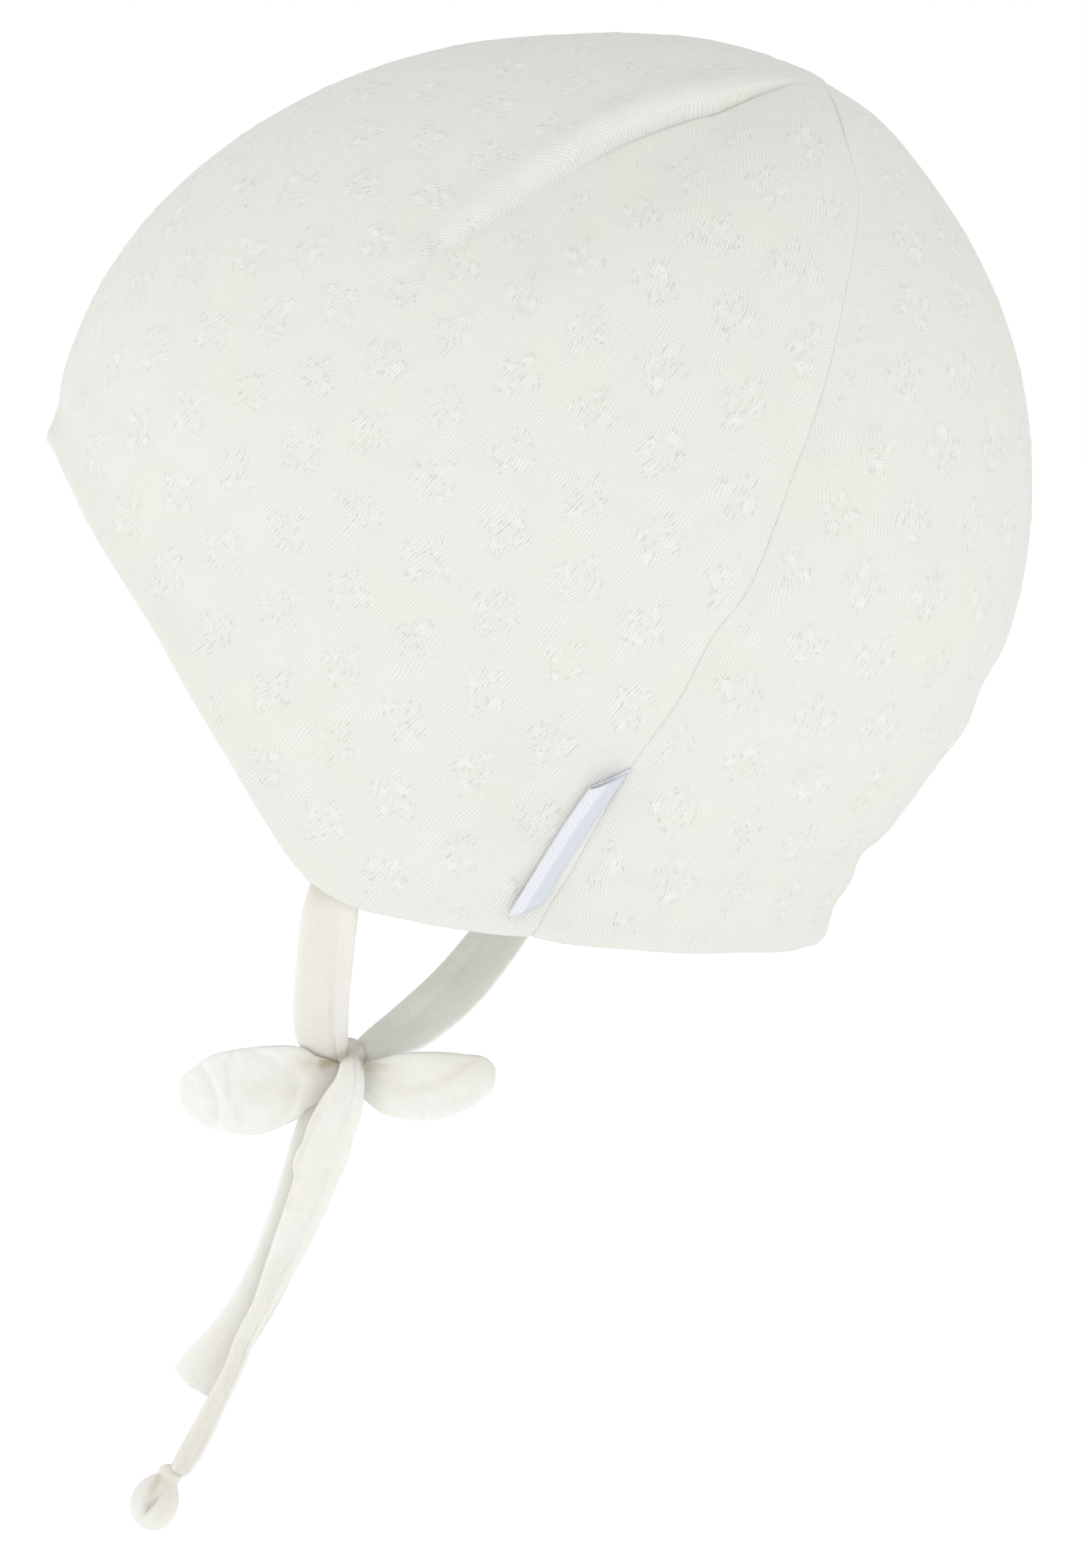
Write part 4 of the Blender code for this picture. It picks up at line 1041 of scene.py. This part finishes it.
def strap_relief(crease_at, crease_depth, lean, strip=0.0):
    """A tube pressed flat: its edges are full, its middle is slack, and a soft crease runs along it. The
    strip beyond the crease stands up where the cloth lies double."""
    def relief(share, beside, side):
        middle = 1 - 0.20 * (1 - beside ** 2)
        from_crease = beside - crease_at - lean * (share - 0.5) - 0.03 * np.sin(9 * share)
        crease = crease_depth * bump(from_crease, 0.10)
        double = strip * eased(from_crease / 0.12)
        slack = 0.10 * np.sin(23 * share + 2 * beside) + 0.05 * np.sin(57 * share - 3 * beside)
        return middle - crease + double + slack * (1 - beside ** 2)
    return relief


def loop_relief(arcs):
    """The cloth of a loop, folded where it turns back. An arc is a share along the loop, how far its ends
    lean, its width and its depth."""
    def relief(share, beside, side):
        height = 1 + 0.15 * (1 - beside ** 2) + 0.10 * np.sin(19 * share + 2.5 * beside)
        for at, lean, width, depth in arcs:
            height = height - depth * bump(share - at - lean * beside ** 2, width) * (side > 0)
        return height
    return relief


def painted_shade_at(points):
    """How much painted shade, yellowish or grey, the ties' cloth takes at points in space, by
    PAINTED_SHADE_LINES.
    """
    right = np.array((-math.sin(VIEW_SIDE), math.cos(VIEW_SIDE), 0.0))
    seen = 1000 * (points - np.array(VIEW_TARGET)) @ np.stack([right, np.cross(TO_CAMERA, right)], axis=-1)
    tint = np.zeros(len(points))
    for from_right, from_up, to_right, to_up, reach_mm, strength in PAINTED_SHADE_LINES:
        start = np.array((from_right, from_up))
        line = np.array((to_right, to_up)) - start
        along = np.clip((seen - start) @ line / (line @ line), 0, 1)
        away = np.linalg.norm(seen - start - along[:, None] * line, axis=-1)
        tint = np.maximum(tint, strength * bump(away, reach_mm))
    return tint


def end_profile(along):
    """Width of the long tail's open end at shares of its length: a small knot, a neck, then a leaf."""
    rows = ((0.00, 0.02), (0.04, 0.28), (0.10, 0.46), (0.16, 0.49), (0.22, 0.47), (0.32, 0.70), (0.45, 0.91),
            (0.60, 0.98), (0.75, 0.93), (0.88, 0.72), (0.96, 0.42), (1.00, 0.02))
    shares, widths = np.array(rows).T
    points = smooth_path(np.stack([shares, widths], axis=-1))
    return np.interp(along, points[:, 0], points[:, 1])


def tail_end(finish):
    """The small knot of the long tail and, under it, the tube's open end with its slit."""
    axis = unit(np.array(END_AXIS))
    thick = unit(np.array((1.0, 0.0, 0.0)) - axis * axis[0])
    wide = np.cross(axis, thick)
    rows, around = 60, 48
    along = (np.arange(rows + 1) / rows)[:, None]
    turn = (2 * np.pi * np.arange(around) / around)[None]
    width = np.maximum(end_profile(along), 0.03)
    across = np.cos(turn) * width / 2
    beside = np.sin(turn) * np.minimum(width, 0.9) / 2
    from_slit = across + 0.02 - 0.25 * (along - 0.62)
    slit = 0.42 * bump(from_slit, 0.055) * bump(along - 0.62, 0.20)
    lip = 0.12 * bump(np.abs(from_slit) - 0.15, 0.08) * bump(along - 0.62, 0.26)
    beside = beside + np.where(beside > 0, 0.5, 0.0) * (lip - slit)
    points = (np.array(END_FROM) + axis * (along * END_LENGTH)[..., None]
              + wide * (across * END_WIDTH)[..., None] + thick * (beside * END_THICKNESS)[..., None])
    return closed_rings("tail_end", points, finish)


def bow_knot(finish):
    """The wrap that holds the bow: a short band drawn tight, with creases that run round it."""
    rows, around = 48, 56
    up = (np.arange(rows + 1) / rows - 0.5)[:, None] * np.pi
    turn = (2 * np.pi * np.arange(around) / around)[None]
    radius = np.maximum(np.cos(up), 0.02)
    waist = 1 - 0.14 * bump(np.sin(up), 0.35)
    crease = 1 - 0.10 * bump(np.sin(4 * up + 1.3 * np.sin(turn)), 0.35)
    size = np.array(KNOT_SIZE) / 2
    points = np.stack([size[0] * radius * waist * crease * np.cos(turn),
                       size[1] * radius * waist * crease * np.sin(turn),
                       np.broadcast_to(size[2] * np.sin(up), (rows + 1, around))], axis=-1)
    return closed_rings("bow_wrap", points + np.array(KNOT_PLACE), finish)


def ribbon_label(finish):
    """Folded ribbon sewn into the side seam. It goes out to its fold and comes back over itself."""
    along = np.arange(LABEL_STEPS + 1) / LABEL_STEPS
    roots, edges = (smooth_path(path, LABEL_STEPS // (len(path) - 1)) for path in (LABEL_ROOT, LABEL_EDGE))
    outline = smooth_path(LABEL_OUTLINE, 4)
    out, lifts = outline[:, :1], outline[:, 1]
    upper = lifts > 0.9
    middle = []
    for share, root, edge in zip(along, roots, edges):
        direction = direction_at(root + (edge - root) * out)
        base = on_form(direction)
        from_seam = np.linalg.norm(base - on_form(direction_at([root])), axis=-1)
        lift = 0.001 * lifts + fold_height(base) + seam_height(from_seam, 1.0)
        lift += LABEL_FLARE * (1 - share) ** 2 * bump(share, 0.4) * upper
        middle.append(base + outward(direction) * lift[:, None])
    middle = np.array(middle)
    offset = RIBBON_HALF * unit(np.cross(np.gradient(middle, axis=1), np.gradient(middle, axis=0)))
    rings = np.concatenate([middle + offset, (middle - offset)[:, ::-1]], axis=1)
    flat_face = eased((0.70 - out[:, 0]) / 0.16) * upper
    tint = np.tile(np.concatenate([flat_face, flat_face[::-1]]), len(rings))
    return closed_rings("ribbon_label", rings, finish, tint)


def studio():
    """Pale floor, plain soft light and the camera at the photograph's angle."""
    bpy.ops.mesh.primitive_plane_add(size=12.0, location=(0.0, 0.0, FLOOR_HEIGHT))
    floor = bpy.context.object
    floor.name = "studio_floor"
    floor.data.materials.append(new_material("background_paper", white_paper))
    studio_sky()

    for name, spot, size, power in LAMPS:
        light = bpy.data.lights.new(name, "AREA")
        light.shape = "DISK"
        light.size = size
        light.energy = power
        lamp = linked(name, light)
        lamp.location = spot
        lamp.rotation_euler = (Vector(spot) - Vector(LAMP_AIM)).to_track_quat("Z", "Y").to_euler()

    lens = bpy.data.cameras.new("photo_camera")
    lens.sensor_fit = "VERTICAL"
    lens.sensor_height = 36.0
    lens.lens = lens.sensor_height / 2 * VIEW_DISTANCE / VIEW_HALF_HEIGHT
    camera = linked("photo_camera", lens)
    camera.location = VIEW_TARGET + Vector(TO_CAMERA) * VIEW_DISTANCE
    camera.rotation_euler = Vector(TO_CAMERA).to_track_quat("Z", "Y").to_euler()
    bpy.context.scene.camera = camera
    bpy.context.scene.view_settings.view_transform = "Standard"


def stand_for(piece, node):
    """A finished piece stands for its CAD node: it hangs under the root body and the node is hidden."""
    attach(piece, "root")
    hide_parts(node)


def main():
    studio()
    blister = new_material("blister_jersey", blister_jersey)
    plain = new_material("plain_jersey", plain_jersey)
    satin = new_material("satin_ribbon", satin_ribbon)

    sheets = front_panel(blister), back_panel(blister)
    for (piece, area, cloth), node in zip(sheets, ("front_panel", "back_panel")):
        stand_for(piece, node)
    stand_for(ribbon_label(satin), "label_tab")

    front_arcs = ((0.37, 0.04, 0.014, 0.9), (0.13, 0.10, 0.02, 0.6))
    back_arcs = ((0.38, 0.05, 0.016, 0.8), (0.12, 0.10, 0.02, 0.5))
    tubes = (  # name, CAD node, route, relief, how its ends are drawn in, thickness
        ("strap_left", "tie_left", tie_seat(1) + TIE_LEFT, strap_relief(0.34, 0.34, 0.25, strip=0.22),
         (0.5, 0.12), TIE_THICKNESS),
        ("strap_right", "tie_right", tie_seat(-1) + TIE_RIGHT, strap_relief(-0.36, 0.34, 0.45),
         (0.5, 0.12), TIE_THICKNESS),
        ("loop_front", "bow_loop_front", LOOP_FRONT, loop_relief(front_arcs), (0.12, 0.12), TIE_THICKNESS),
        ("loop_back", "bow_loop_back", LOOP_BACK, loop_relief(back_arcs), (0.12, 0.12), TIE_THICKNESS),
        ("tail_over", "tail_long", tail_route(TAIL_LONG), strap_relief(0.45, 0.20, 0.2),
         (0.12, 0.16), LONG_TAIL_THICKNESS),
        ("tail_under", "tail_short", tail_route(TAIL_SHORT), strap_relief(0.2, 0.3, 0.15),
         (0.4, 0.08), TIE_THICKNESS),
    )
    pieces, paths, nodes = {}, {}, {"bow_wrap": "bow_knot", "tail_end": "tail_end_knot"}
    for name, node, route, relief, ends, thickness in tubes:
        pieces[name], paths[name] = flat_tube(name, route, plain, relief, ends, thickness)
        nodes[name] = node
    pieces["bow_wrap"] = bow_knot(plain)
    pieces["tail_end"] = tail_end(plain)
    for name, piece in pieces.items():
        stand_for(piece, nodes[name])


main()
